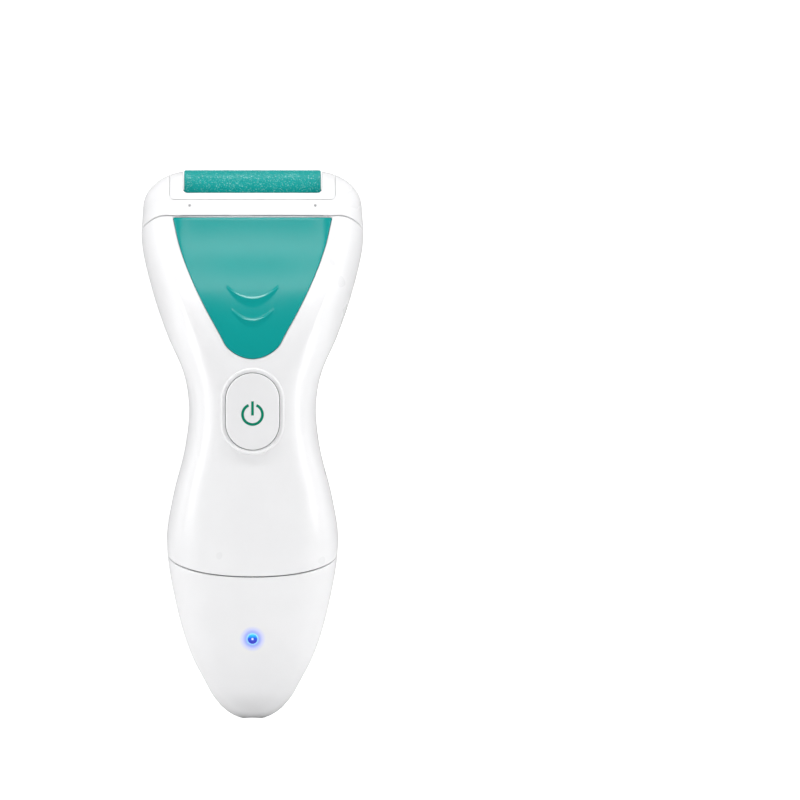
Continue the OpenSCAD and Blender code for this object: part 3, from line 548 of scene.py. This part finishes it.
materials["abrasive"] = make_abrasive()
print("abrasive:", len(materials["abrasive"].node_tree.nodes), "nodes")

# %% [markdown]
# The indicator is a clear blue lens over a lamp. The lamp is lit, so the lens glows, and a little of
# its light bleeds into the white plastic round it, which glows there and is painted blue in its base
# colour.

# %% Lit lens and the glow round it
LED_Z, LENS_R, GLOW_R = 24.5, 1.7, 4.2
LED_Y = front_y(LED_Z)


def make_ramp(tree, stops):
    ramp = tree.nodes.new("ShaderNodeValToRGB")
    while len(ramp.color_ramp.elements) < len(stops):
        ramp.color_ramp.elements.new(0.5)
    for element, (at, colour) in zip(ramp.color_ramp.elements, stops):
        element.position = at
        element.color = (*colour, 1)
    return ramp


# How far a point lies from the lamp, as a node chain on object coordinates. Where depth
# doesn't count, the distance is taken from the lamp's axis.
def lamp_distance(tree, depth_counts):
    place = tree.nodes.new("ShaderNodeTexCoord")
    apart = add_node(tree, "ShaderNodeVectorMath", operation="SUBTRACT")
    apart.inputs[1].default_value = (0, (LED_Y + FRAME_Y) * MM, LED_Z * MM)
    flat = add_node(tree, "ShaderNodeVectorMath", operation="MULTIPLY")
    flat.inputs[1].default_value = (1, 1 if depth_counts else 0, 1)
    length = add_node(tree, "ShaderNodeVectorMath", operation="LENGTH")
    tree.links.new(place.outputs["Object"], apart.inputs[0])
    tree.links.new(apart.outputs["Vector"], flat.inputs[0])
    tree.links.new(flat.outputs["Vector"], length.inputs[0])
    return place, length


def scaled_to_mm(tree, socket, span):
    scale = tree.nodes.new("ShaderNodeMapRange")
    scale.inputs["From Max"].default_value = span * MM
    tree.links.new(socket, scale.inputs["Value"])
    return scale.outputs["Result"]


# The lens's glow is pale cyan towards its top and deep blue towards its bottom, with a white spot at
# its middle and a pale ring near its rim
def make_lens():
    material = bpy.data.materials.new("lens_blue")
    material.use_nodes = True
    tree = material.node_tree
    shader = tree.nodes["Principled BSDF"]
    set_value(shader, Coat_Weight=0.6, Emission_Strength=1.2, Roughness=0.15)
    set_value(shader, Base_Color=(0.0, 0.01, 0.12, 1))
    place, length = lamp_distance(tree, False)
    share = scaled_to_mm(tree, length.outputs["Value"], LENS_R)
    rim = make_ramp(tree, [(0.84, (0, 0, 0)), (0.93, (1, 1, 1))])
    chip = make_ramp(tree, [(0, (1, 1, 1)), (0.1, (1, 1, 1)), (0.24, (0, 0, 0))])
    heights = tree.nodes.new("ShaderNodeSeparateXYZ")
    rise = tree.nodes.new("ShaderNodeMapRange")
    rise.inputs["From Min"].default_value = (LED_Z - 0.8) * MM
    rise.inputs["From Max"].default_value = (LED_Z + 1.1) * MM
    body = make_ramp(tree, [(0, (0, 0, 0.35)), (0.5, (0, 0.06, 0.6)), (1, (0.03, 0.5, 0.85))])
    ringed = add_node(tree, "ShaderNodeMix", data_type="RGBA")
    ringed.inputs["B"].default_value = (0.35, 0.7, 1.1, 1)
    lit = add_node(tree, "ShaderNodeMix", data_type="RGBA")
    lit.inputs["B"].default_value = (0.9, 0.9, 1.2, 1)
    link = tree.links.new
    link(share, rim.inputs["Fac"])
    link(share, chip.inputs["Fac"])
    link(place.outputs["Object"], heights.inputs["Vector"])
    link(heights.outputs["Z"], rise.inputs["Value"])
    link(rise.outputs["Result"], body.inputs["Fac"])
    link(body.outputs["Color"], ringed.inputs["A"])
    link(rim.outputs["Color"], ringed.inputs["Factor"])
    link(ringed.outputs["Result"], lit.inputs["A"])
    link(chip.outputs["Color"], lit.inputs["Factor"])
    link(lit.outputs["Result"], shader.inputs["Emission Color"])
    return material


def make_lit_shell():
    material = make_white("white_shell_lit")
    tree = material.node_tree
    shader = tree.nodes["Principled BSDF"]
    set_value(shader, Emission_Strength=0.6)
    length = lamp_distance(tree, True)[1]
    share = scaled_to_mm(tree, length.outputs["Value"], GLOW_R)
    glow = make_ramp(tree, [(0.4, (0.1, 0.35, 0.9)), (0.5, (0.03, 0.1, 0.45)), (0.95, (0, 0, 0))])
    # Round the lamp the shell's base colour is also painted blue, a painted glow of the lamp's light
    painted_lamp_tint_stops = [(0.42, (0.35, 0.6, 1)), (0.52, (0.4, 0.45, 0.95))]
    painted_lamp_tint_stops += [(0.7, (0.75, 0.76, 1)), (0.95, (1, 1, 1))]
    painted_lamp_tint = make_ramp(tree, painted_lamp_tint_stops)
    tinted = add_node(tree, "ShaderNodeMix", data_type="RGBA", blend_type="MULTIPLY")
    tinted.inputs["Factor"].default_value = 1
    shell_colour = shader.inputs["Base Color"].links[0].from_socket
    link = tree.links.new
    link(share, glow.inputs["Fac"])
    link(share, painted_lamp_tint.inputs["Fac"])
    link(shell_colour, tinted.inputs["A"])
    link(painted_lamp_tint.outputs["Color"], tinted.inputs["B"])
    link(tinted.outputs["Result"], shader.inputs["Base Color"])
    link(glow.outputs["Color"], shader.inputs["Emission Color"])
    return material


materials["lens_blue"] = make_lens()
lit_shell = make_lit_shell()


def dress(obj, slot, material=None):
    obj.data.materials.clear()
    obj.data.materials.append(material or materials[slot])


for part in frame["record"]["subparts"]:
    dress(frame["nodes"][part["node"]], part["material_slot"])

# %% [markdown]
# ## Middle shell
# The long shell is one loft from the cap seam to the head seam. Two pockets are cut in it
# afterwards, one for the panel and one for the button, as a sliding core would leave them.

# %% Loft between two seams
WALL, EDGE_R = 2.2, 0.3


def loft_rows(name, lows, highs, rows, wrap):
    rings = []
    for t, extra, inset in rows:
        rings.append([
            ring_point(k, lows[k] + (highs[k] - lows[k]) * t + extra, inset) for k in range(RING_N)
        ])
    return add_mesh(name, *join_rings(rings, wrap), sharp=50)


def shell_rows(steps):
    rows = [(0, back, inset) for back, inset in reversed(rounded_edge(EDGE_R))]
    rows += [(i / steps, 0, 0) for i in range(1, steps)]
    rows += [(1, -back, inset) for back, inset in rounded_edge(EDGE_R)]
    return rows


body_lows = [z + SEAM_GAP / 2 for z in cap_zs]
body_highs = [z - SEAM_GAP / 2 for z in head_zs]
inner = [(1 - i / 24, 0, WALL) for i in range(25)]
body_rows = shell_rows(90) + inner
main_shell = loft_rows("middle_shell", body_lows, body_highs, body_rows, True)
print("middle shell:", len(main_shell.data.vertices), "points")

# %% [markdown]
# ## Front panel
# The coloured panel is a separate moulding, pressed into a pocket in the shell. It follows the
# skin of the shell and stands a quarter of a millimetre proud. Two smile-shaped ribs give the
# thumb something to find.

# %% Outline of the panel
PANEL = [(109.8, 6.6), (115, 8.8), (125, 14.2), (134, 18.5), (143.7, 22.1), (153, 24.3)]
PANEL_LOW, PANEL_HIGH, PANEL_ROUND = 109.8, 153.1, 5
PROUD, SUNK = 0.25, 0.85


def panel_half(z):
    t = min(1, max(0, (z - PANEL_LOW) / PANEL_ROUND))
    return curve(PANEL, z) * math.sqrt(1 - (1 - t) ** 2)


# Half outline from the bottom middle to the top middle, evenly spaced, then mirrored
def panel_outline(step=0.3, corner_r=0.6):
    path = [(0, PANEL_LOW)]
    for i in range(1, 61):
        z = PANEL_LOW + PANEL_ROUND * (i / 60) ** 2
        path.append((panel_half(z), z))
    while z < PANEL_HIGH - corner_r - 0.2:
        z += step
        path.append((panel_half(z), z))
    corner = panel_half(PANEL_HIGH) - corner_r
    for i in range(1, 9):
        a = math.pi / 2 * i / 8
        path.append((corner + corner_r * math.cos(a), PANEL_HIGH - corner_r + corner_r * math.sin(a)))
    path.append((0, PANEL_HIGH))
    even, left = [path[0]], 0.0
    for (x0, z0), (x1, z1) in zip(path, path[1:]):
        length = math.hypot(x1 - x0, z1 - z0)
        at = step - left
        while at <= length:
            even.append((x0 + (x1 - x0) * at / length, z0 + (z1 - z0) * at / length))
            at += step
        left = length - (at - step)
    return even + [(-x, z) for x, z in reversed(even[1:]) if x > 0.05]


def shrink(outline, by):
    moved = []
    n = len(outline)
    for i in range(n):
        (ax, az), (bx, bz) = outline[i - 1], outline[(i + 1) % n]
        length = math.hypot(bx - ax, bz - az) or 1
        x, z = outline[i]
        moved.append((x - (bz - az) / length * by, z + (bx - ax) / length * by))
    return moved


outline = panel_outline()
print("panel outline:", len(outline), "points")

# %% Ribs on the panel, as a height above its skin
# Each rib: half its width, its tips' height, how far its middle dips, how thick it is there
RIBS = [(8.1, 132, 3.9, 2.5), (6.5, 124.8, 3.5, 1.9)]
RIB_RISE, RIB_LIP, RIB_END = 0.42, 0.75, 0.5


# A rib is a smile: a crest that dips in the middle, a short lip above it, a long slope below
def rib_crest(rib, x):
    half, tip, drop, _ = rib
    return tip - drop * (1 - (x / half) ** 2)


def rib_depth(rib, x):
    half, _, _, thick = rib
    return RIB_END + (thick - RIB_END) * (1 - (x / half) ** 2)


def rib_height(x, z):
    for rib in RIBS:
        share = 1 - (x / rib[0]) ** 2
        if share <= 0:
            continue
        below = rib_crest(rib, x) - z
        tall = RIB_RISE * share**0.6
        if -RIB_LIP < below <= 0:
            return tall * (0.6 * (1 + below / RIB_LIP) + 0.4 * smooth_step(-RIB_LIP, 0, below))
        if 0 < below < rib_depth(rib, x):
            return tall * (1 - below / rib_depth(rib, x)) ** 1.3
    return 0


def near_rib(x, z):
    for rib in RIBS:
        below = rib_crest(rib, x) - z
        depth = rib_depth(rib, min(abs(x), rib[0]))
        if abs(x) < rib[0] + 0.5 and -RIB_LIP - 0.7 < below < depth + 0.7:
            return True
    return False


# Lines that follow a rib, so that the sheet's points lie along it
def lines_along(rib, n=36):
    xs = [rib[0] * (i / n - 1) for i in range(2 * n + 1)]
    lines = []
    for lift in (RIB_LIP + 0.35, RIB_LIP, 0.6, 0.45, 0.3, 0.15, 0):
        lines.append([(x, rib_crest(rib, x) + lift) for x in xs])
    for share in (0.08, 0.2, 0.34, 0.5, 0.66, 0.82, 1):
        lines.append([(x, rib_crest(rib, x) - share * rib_depth(rib, x)) for x in xs])
    lines.append([(x, rib_crest(rib, x) - rib_depth(rib, x) - 0.4) for x in xs])
    return lines


# A sheet of triangles inside an outline, with extra points where detail is wanted
def fill_outline(edge, step, lines=()):
    points = [Vector(p) for p in edge]
    edges = [(i, (i + 1) % len(edge)) for i in range(len(edge))]
    for line in lines:
        first = len(points)
        points += [Vector(p) for p in line]
        edges += [(first + i, first + i + 1) for i in range(len(line) - 1)]
    top, z = max(p[1] for p in edge), min(p[1] for p in edge)
    while z < top - 0.4:
        count = max(0, int((panel_half(z) - 0.7) / step))
        row = [Vector((i * step, z)) for i in range(-count, count + 1)]
        points += [p for p in row if not (lines and near_rib(p.x, p.y))]
        z += step
    got = delaunay_2d_cdt(points, edges, [tuple(range(len(edge)))], 1, 0.01)
    return got[0], got[2]


rib_lines = [line for rib in RIBS for line in lines_along(rib)]
flat, triangles = fill_outline(shrink(outline, EDGE_R), 0.5, rib_lines)
print("panel sheet:", len(flat), "points")

# %% Close the panel with a rounded edge and a back
def on_skin(x, z, out):
    return Vector((x, skin_y(x, min(z, PANEL_HIGH)) + FRAME_Y - out, z)) * MM


def make_panel():
    n = len(outline)
    points = [on_skin(p.x, p.y, PROUD + rib_height(p.x, p.y)) for p in flat]
    faces = [tuple(t) for t in triangles]
    above = list(range(n))
    strips = []
    for i in range(1, 5):
        t = math.pi / 2 * i / 4
        out = PROUD - EDGE_R * (1 - math.cos(t))
        ring = shrink(outline, EDGE_R * (1 - math.sin(t)))
        strips.append([on_skin(x, z, out) for x, z in ring])
    strips.append([on_skin(x, z, -SUNK) for x, z in outline])
    for strip in strips:
        first = len(points)
        points += strip
        for i in range(n):
            j = (i + 1) % n
            faces.append((above[i], above[j], first + j, first + i))
        above = list(range(first, first + n))
    faces.append(tuple(above))
    return add_mesh("panel_inlay", points, faces, sharp=55)


panel = finish_piece(make_panel(), "handle", "front_panel")
dress(panel, "teal_panel")
print("panel:", len(panel.data.polygons), "faces")

# %% Cut the panel's pocket and the button's hole
def pocket_tool(grow, out, deep):
    edge = shrink(outline, -grow)
    got, tris = fill_outline(edge, 2.0)
    n = len(got)
    points = [on_skin(p.x, p.y, out) for p in got] + [on_skin(p.x, p.y, -deep) for p in got]
    faces = [tuple(t) for t in tris] + [tuple(n + i for i in reversed(t)) for t in tris]
    rim = len(edge)
    faces += [(i, (i + 1) % rim, n + (i + 1) % rim, n + i) for i in range(rim)]
    return add_mesh("tool", points, faces)


def stadium(w, h, centre_z, n=40):
    return rounded_box(-w / 2, centre_z - h / 2, w / 2, centre_z + h / 2, w / 2 - 0.001, n)


BUTTON_Z, BUTTON_W, BUTTON_H, BEZEL_W, BEZEL_H = 93.8, 16.3, 23.3, 19.4, 26.4
cut(main_shell, pocket_tool(0.16, 3, SUNK + 0.12))
cut(main_shell, bar_y(stadium(BEZEL_W - 0.6, BEZEL_H - 0.6, BUTTON_Z), -40, -10))
finish_piece(main_shell, "handle", "main_housing")
dress(main_shell, "white_shell")
print("middle shell after cutting:", len(main_shell.data.polygons), "faces")

# %% [markdown]
# ## End cap
# The cap closes the handle. Its tip is rounded, and it carries the lamp's lens on the front and
# the hole for the charging plug underneath.

# %% Loft the cap and bore its two holes
TIP_FLOOR, TIP_CROWD, PLUG_HOLE_R, LENS_HOLE_R = 2.6, 1.7, 3.0, 1.78
cap_highs = [z - SEAM_GAP / 2 for z in cap_zs]
# Rows crowd towards the tip, where the shape turns fastest
cap_rows = [((i / 60) ** TIP_CROWD, 0, 0, 0) for i in range(60)]
cap_rows += [(1, -back, inset, 0) for back, inset in rounded_edge(EDGE_R)]
cap_rows += [((1 - i / 20) ** TIP_CROWD, 0, WALL, TIP_FLOOR) for i in range(21)]
cap_rings = []
for t, extra, inset, low in cap_rows:
    cap_rings.append([
        ring_point(k, low + (cap_highs[k] - low) * t + extra, inset) for k in range(RING_N)
    ])
cap = add_mesh("end_cap_shell", *join_rings(cap_rings, False), sharp=50)
cut(cap, bar_z(disc(PLUG_HOLE_R, 0, 0), -2, 6), bar_y(disc(LENS_HOLE_R, 0, LED_Z), -40, 0))
finish_piece(cap, "handle", "end_cap")
dress(cap, "white_shell", lit_shell)
print("end cap:", len(cap.data.polygons), "faces")

# %% [markdown]
# The lens is a short clear rod with a domed front and a hollow at the back for the lamp. It is
# round all over, so half of its outline is turned about its axis, as on a lathe.

# %% Domed lens
LENS_SINK, LENS_BULGE, LENS_BACK, HOLLOW_Y, HOLLOW_R, AXIS = 0.25, 0.72, 5.2, 4.4, 1.55, 0.001
lens_profile = [(AXIS, LED_Y + HOLLOW_Y), (HOLLOW_R, LED_Y + HOLLOW_Y), (HOLLOW_R, LED_Y + LENS_BACK)]
lens_profile += [(LENS_R, LED_Y + LENS_BACK), (LENS_R, LED_Y + LENS_SINK)]
for i in range(1, 13):
    a = math.pi / 2 * i / 12
    y = LED_Y + LENS_SINK - LENS_BULGE * math.sin(a)
    lens_profile.append((max(AXIS, LENS_R * math.cos(a)), y))
lens = add_mesh("lamp_lens", *lathe_y(lens_profile, 0, LED_Z), sharp=50)
finish_piece(lens, "handle", "led_lens")
dress(lens, "lens_blue")
print("lens:", len(lens.data.polygons), "faces")

# %% [markdown]
# ## Head
# The head is one dome. Its middle is cut down to a seat, and the roller's cassette fills the cut,
# so that the two read as one body with a fine line between them.

# %% A solid dome, closed below
def dome_solid(name, lows, edge):
    highs = [DOME_TOP - 0.01] * RING_N
    rows = [(0, 0, 0)]
    if edge:
        rows = [(0, back, inset) for back, inset in reversed(rounded_edge(EDGE_R))]
    rows += [(1 - (1 - i / 56) ** 2, 0, 0) for i in range(1, 57)]
    return loft_rows(name, lows, highs, rows, False)


# The tub below the seat, seen from above, grown by g
def tub_outline(g):
    x, f, b = 25.3 + g, 5 - g, 22.5 + g
    right = [(x - 2.2, f), (x, f + 2.2), (x, b - 5), (x - 5, b)]
    return right + [(-u, v) for u, v in reversed(right)]


SEAT_Z, SLIDE_GAP, WELL_X = 158.62, 0.13, 25.42
HOLLOW_TOP, TUB_ROOM, TUB_ROOM_LOW = 155.2, 1.2, 148.7
PIP_R, PIP_X, PIP_Z = 0.45, 19.2, 156.8
ABOVE_ALL = 190
head_lows = [z + SEAM_GAP / 2 for z in head_zs]
head = dome_solid("head_dome_shell", head_lows, True)
cut(head, bar_y(rounded_box(-WELL_X, SEAT_Z, WELL_X, ABOVE_ALL, 1.6), -60, 60))
hollow_lows = [z - 1 for z in head_zs]
hollow_rows = [(i / 8, 0, WALL) for i in range(9)]
hollow = loft_rows("tool", hollow_lows, [HOLLOW_TOP] * RING_N, hollow_rows, False)
cut(head, hollow, bar_z(tub_outline(SLIDE_GAP + TUB_ROOM), TUB_ROOM_LOW, SEAT_Z + 0.3))
for side in (-1, 1):
    cut(head, bar_y(disc(PIP_R, side * PIP_X, PIP_Z), -20, 0.1))
finish_piece(head, "handle", "head_shell")
dress(head, "white_shell")
print("head:", len(head.data.polygons), "faces")

# %% [markdown]
# ## Roller cassette
# The cassette is the middle of the same dome with a tub under it. A slot with rounded lower
# corners bares the roller from both sides.

# %% Cross the dome with a block, add the tub, open the slot
ROLLER_Y, ROLLER_Z, ROLLER_R, OPENING_X, LIP_Z = 14, 160.5, 7.5, 21.35, 160.7
CRADLE_X, TUB_LOW = 25.3, 150.9
ROLLER_ROOM_R, GEAR_ROOM_R, BUSH_R, AXLE_ROOM_R = 8.2, 6.1, 2.5, 1.9
GEAR_BAY_X, GEAR_BAY_END = 21, 24.3
IDLER_Y, IDLER_Z, IDLER_ROOM_R = 10.891, 148.032, 9.2
cradle = dome_solid("roller_cassette_body", [150.0] * RING_N, False)
block = rounded_box(-CRADLE_X, SEAT_Z + SLIDE_GAP, CRADLE_X, ABOVE_ALL, 1.3)
combine(cradle, bar_y(block, -60, 60), "INTERSECT")
combine(cradle, bar_z(tub_outline(0), TUB_LOW, 161), "UNION")
cut(cradle, bar_y(rounded_box(-OPENING_X, LIP_Z, OPENING_X, ABOVE_ALL, 1.5), -60, 60))
cut(cradle, bar_x(disc(ROLLER_ROOM_R, ROLLER_Y, ROLLER_Z, 96), -OPENING_X, OPENING_X))
# Round the roller's axis: room for its gear, a seat for each bush, and the axle's way through
bores = [(GEAR_ROOM_R, 10, GEAR_BAY_END), (BUSH_R, 20, 26), (BUSH_R, -26, -23.3), (AXLE_ROOM_R, -26, 0)]
for r, x0, x1 in bores:
    cut(cradle, bar_x(disc(r, ROLLER_Y, ROLLER_Z), x0, x1))
# Room for the idler, and the open floor of the gear bay
cut(cradle, bar_x(disc(IDLER_ROOM_R, IDLER_Y, IDLER_Z), GEAR_BAY_X, GEAR_BAY_END))
bay = [(GEAR_BAY_X, 1.7), (GEAR_BAY_END, 1.7), (GEAR_BAY_END, 20.1), (GEAR_BAY_X, 20.1)]
cut(cradle, bar_z(bay, 140, 152))
# Hollows under the tub clear the heads of the two body screws, and a notch at each end of it
# takes a catch spring
for side in (-1, 1):
    cut(cradle, bar_z(disc(2.5, side * 8, 18.6), 140, 151.9))
    near_end, far_end = sorted((side * 24.8, side * 26.3))
    cut(cradle, bar_z(rounded_box(near_end, 12.2, far_end, 15.8, 0.2), 151.8, 153.8))
finish_piece(cradle, "cassette", "roller_cradle")
dress(cradle, "white_shell")
print("cassette:", len(cradle.data.polygons), "faces")

# %% [markdown]
# ## Abrasive sleeve
# The sleeve is turned to size and then coated. Here each point of its skin is lifted or sunk a
# few hundredths of a millimetre by a noise pattern, so that the grit has real height.

# %% Lathe the sleeve and roughen it
SLEEVE_HALF, SLEEVE_EDGE, SLEEVE_BORE_R, GRIT_DEPTH = 21.0, 0.4, 6.4, 0.06


def make_sleeve(along=170, around=200):
    half, edge = SLEEVE_HALF, SLEEVE_EDGE
    rings = []
    for i in range(along + 1):
        x = -half + 2 * half * i / along
        from_end = half - abs(x)
        r = ROLLER_R - (edge - math.sqrt(max(0, edge**2 - max(0, edge - from_end) ** 2)))
        ring = []
        for k in range(around):
            a = math.tau * k / around
            rough = noise.noise(Vector((x * 2.6, 6.5 * a, 3.0 * math.sin(a)))) * GRIT_DEPTH - GRIT_DEPTH
            radius = r + (rough if 0 < i < along else 0)
            y, z = ROLLER_Y + radius * math.cos(a), ROLLER_Z + radius * math.sin(a)
            ring.append(Vector((x, y + FRAME_Y, z)) * MM)
        rings.append(ring)
    for x in (half, -half):
        ring = []
        for k in range(around):
            a = math.tau * k / around
            y = ROLLER_Y + SLEEVE_BORE_R * math.cos(a)
            z = ROLLER_Z + SLEEVE_BORE_R * math.sin(a)
            ring.append(Vector((x, y + FRAME_Y, z)) * MM)
        rings.append(ring)
    return add_mesh("grit_sleeve", *join_rings(rings, True), sharp=60)


sleeve = finish_piece(make_sleeve(), "roller", "roller_sleeve")
dress(sleeve, "abrasive")
print("sleeve:", len(sleeve.data.vertices), "points")

# %% [markdown]
# ## Push button
# The button is a long oval cap in a ring. Both have a barrel-shaped crown, so that the thumb finds
# the middle. The ring is dished towards the button, which leaves a soft shadow round it. Each is
# one run of ovals, from the sunk foot over a rounded edge to the crown.

# %% Rings of an oval, laid on a barrel crown
BUTTON_CROWN_R, BUTTON_FRONT, BEZEL_CROWN_R, BEZEL_FRONT = 45, -22.4, 30, -22.3
FOOT_Y, OVAL_EDGE_R = -19.4, 0.45


def crown_y(x, r, front):
    return front + r - math.sqrt(r * r - x * x)


def oval_rows(w, h, crown_r, front, rows):
    rings = []
    for inset, back, flat_y in rows:
        ring = []
        for x, z in stadium(w - 2 * inset, h - 2 * inset, BUTTON_Z, 24):
            y = flat_y if flat_y is not None else crown_y(x, crown_r, front) + back
            ring.append(Vector((x, y + FRAME_Y, z)) * MM)
        rings.append(ring)
    return rings


# Each row: how far in from the oval's side, how far behind the crown, or else a flat depth
soft_edge = []
for i in range(7):
    t = math.pi / 2 * i / 6
    soft_edge.append((OVAL_EDGE_R * (1 - math.cos(t)), OVAL_EDGE_R * (1 - math.sin(t)), None))
button_rows = [(0.02, 0, FOOT_Y + 0.5), (0, 0, FOOT_Y)] + soft_edge
button_rows += [(OVAL_EDGE_R + 7.6 * (i / 14), 0, None) for i in range(1, 15)]
button_rings = oval_rows(BUTTON_W, BUTTON_H, BUTTON_CROWN_R, BUTTON_FRONT, button_rows)
button = add_mesh("button_cap", *join_rings(button_rings, False), sharp=50)
finish_piece(button, "button", "power_button")
dress(button, "button_plastic")

BEZEL_IN, BEZEL_MID, BEZEL_BACK = 1.4, 0.7, -17.7
bezel_rows = [(0, 0, FOOT_Y)] + soft_edge
bezel_rows += [(OVAL_EDGE_R + 0.9 * i / 6, 0.55 * (i / 6) ** 1.5, None) for i in range(1, 7)]
bezel_rows += [(BEZEL_IN, 0.65, None), (BEZEL_IN, 0, BEZEL_BACK)]
bezel_rows += [(BEZEL_MID, 0, BEZEL_BACK), (BEZEL_MID, 0, FOOT_Y)]
bezel_rings = oval_rows(BEZEL_W, BEZEL_H, BEZEL_CROWN_R, BEZEL_FRONT, bezel_rows)
bezel = add_mesh("button_ring", *join_rings(bezel_rings, True), sharp=50)
finish_piece(bezel, "handle", "button_bezel")
dress(bezel, "white_shell")
print("button and ring:", len(button.data.polygons), len(bezel.data.polygons), "faces")

# %% [markdown]
# The mark on the button is the common sign for power, a broken ring and a bar, in coloured ink.
# It is a thin strip that follows the button's crown and stands a little proud of it.

# %% Inlaid symbol
MARK_Z, MARK_IN_R, MARK_OUT_R, MARK_BAR = BUTTON_Z - 0.9, 2.62, 3.44, 0.39


def symbol_strip(path_inner, path_outer):
    n = len(path_inner)
    points = []
    for depth in (-0.05, 0.1):
        for path in (path_inner, path_outer):
            for x, z in path:
                y = crown_y(x, BUTTON_CROWN_R, BUTTON_FRONT) + depth
                points.append(Vector((x, y + FRAME_Y, z)) * MM)
    faces = []
    for i in range(n - 1):
        a, b, c, d = i, i + 1, n + i + 1, n + i
        faces.append((a, b, c, d))
        faces.append((2 * n + a, 2 * n + d, 2 * n + c, 2 * n + b))
        faces.append((a, 2 * n + a, 2 * n + b, b))
        faces.append((d, c, 2 * n + c, 2 * n + d))
    for i in (0, n - 1):
        faces.append((i, n + i, 3 * n + i, 2 * n + i))
    return points, faces


turns = [math.radians(113 + 314 * i / 60) for i in range(61)]
arcs = []
for r in (MARK_IN_R, MARK_OUT_R):
    arcs.append([(r * math.cos(t), MARK_Z + r * math.sin(t)) for t in turns])
bar = [[(x, MARK_Z + z) for z in (-0.3, 1, 2.5, 4.0)] for x in (-MARK_BAR, MARK_BAR)]
mark_points, mark_faces = symbol_strip(*arcs)
bar_points, bar_faces = symbol_strip(*bar)
mark_faces += [tuple(len(mark_points) + i for i in face) for face in bar_faces]
symbol = add_mesh("power_mark", mark_points + bar_points, mark_faces, sharp=30)
finish_piece(symbol, "button", "power_symbol")
dress(symbol, "green_ink")
print("symbol:", len(symbol.data.polygons), "faces")

# %% [markdown]
# ## Studio
# A studio sweep is one sheet of white paper that runs from the floor up into the wall, so no edge
# shows behind the object. Tall lights at both sides put a bright band on each flank
# and leave the middle a little darker, which shows how round the handle is.

# %% White sweep
SWEEP_GLOW, ROOM_LIGHT = 0.9, 0.22


def make_sweep():
    bend, far = 0.5, 1.2
    path = [(-3.6, 0), (far, 0)]
    for i in range(1, 17):
        t = math.pi / 2 * i / 16
        path.append((far + bend * math.sin(t), bend * (1 - math.cos(t))))
    path += [(far + bend, 2.4)]
    points = [Vector((x, y, z)) for y, z in path for x in (-1.6, 1.6)]
    faces = [(2 * i, 2 * i + 1, 2 * i + 3, 2 * i + 2) for i in range(len(path) - 1)]
    sweep = add_mesh("studio_sweep", points, faces)
    paper = make_material("sweep_paper", (0.8, 0.8, 0.8), 0.8, lift=0.0, worn=0)
    tree = paper.node_tree
    shader = tree.nodes["Principled BSDF"]
    set_value(shader, Emission_Strength=SWEEP_GLOW, Specular_IOR_Level=0)
    # The paper glows where the camera sees it and hardly at all towards the object, which it would
    # otherwise flood with light
    path_kind = tree.nodes.new("ShaderNodeLightPath")
    glow = add_node(tree, "ShaderNodeMix", data_type="RGBA")
    glow.inputs["A"].default_value = (0.05, 0.05, 0.05, 1)
    glow.inputs["B"].default_value = (1, 1, 1, 1)
    tree.links.new(path_kind.outputs["Is Camera Ray"], glow.inputs["Factor"])
    tree.links.new(glow.outputs["Result"], shader.inputs["Emission Color"])
    sweep.data.materials.append(paper)
    return sweep


sweep = make_sweep()
world = bpy.data.worlds.new("white_room")
bpy.context.scene.world = world
world.use_nodes = True
backdrop = world.node_tree.nodes["Background"]
backdrop.inputs["Strength"].default_value = 1
room_path = world.node_tree.nodes.new("ShaderNodeLightPath")
room = add_node(world.node_tree, "ShaderNodeMix", data_type="RGBA")
room.inputs["A"].default_value = (ROOM_LIGHT, ROOM_LIGHT, ROOM_LIGHT, 1)
room.inputs["B"].default_value = (1, 1, 1, 1)
world.node_tree.links.new(room_path.outputs["Is Camera Ray"], room.inputs["Factor"])
world.node_tree.links.new(room.outputs["Result"], backdrop.inputs["Color"])
bpy.context.scene.view_settings.view_transform = "Standard"
print("sweep:", len(sweep.data.polygons), "faces")


# %% Lights, placed by the angle round the object and the angle above it
def area_light(name, around, above, width, height, watts, far=0.9):
    data = bpy.data.lights.new(name, "AREA")
    data.shape = "RECTANGLE"
    data.size, data.size_y, data.energy = width, height, watts
    light = bpy.data.objects.new(name, data)
    bpy.context.scene.collection.objects.link(light)
    a, e = math.radians(around), math.radians(above)
    out = Vector((math.sin(a) * math.cos(e), -math.cos(a) * math.cos(e), math.sin(e)))
    light.location = out * far + Vector((0, 0, 0.09))
    light.rotation_euler = out.to_track_quat("Z", "Y").to_euler()
    return light


for side in (-1, 1):
    area_light("flank_light", side * 64, 12, 0.25, 0.7, 3.2)
    area_light("edge_light", side * 90, 12, 0.3, 0.7, 1.1)
area_light("front_top_light", 0, 54, 1.1, 0.2, 3.0)
area_light("top_light", 0, 93, 0.5, 0.2, 4.6)

# %% [markdown]
# ## Camera
# A long lens looks from straight ahead, a little above the middle of the object. It keeps the true
# proportions, as a catalogue picture does. The object stands to the left, so the lens is shifted.

# %% Place the camera
SPAN, DISTANCE, CAMERA_Z, SENSOR = 0.244, 3.0, 0.0973, 36
ASIDE = 0.184375  # how far left of the middle the object stands, as a share of the picture's width
camera_data = bpy.data.cameras.new("camera")
camera = bpy.data.objects.new("camera", camera_data)
bpy.context.scene.collection.objects.link(camera)
camera_data.sensor_width = SENSOR
camera_data.lens = SENSOR * DISTANCE / SPAN
camera_data.clip_end = 50
camera_data.dof.use_dof = False
camera.location = (0, FRAME_Y * MM - DISTANCE - 0.01, CAMERA_Z)
camera.rotation_euler = (math.radians(90), 0, 0)
camera_data.shift_x = ASIDE
bpy.context.scene.camera = camera
print("camera lens:", round(camera_data.lens), "mm")
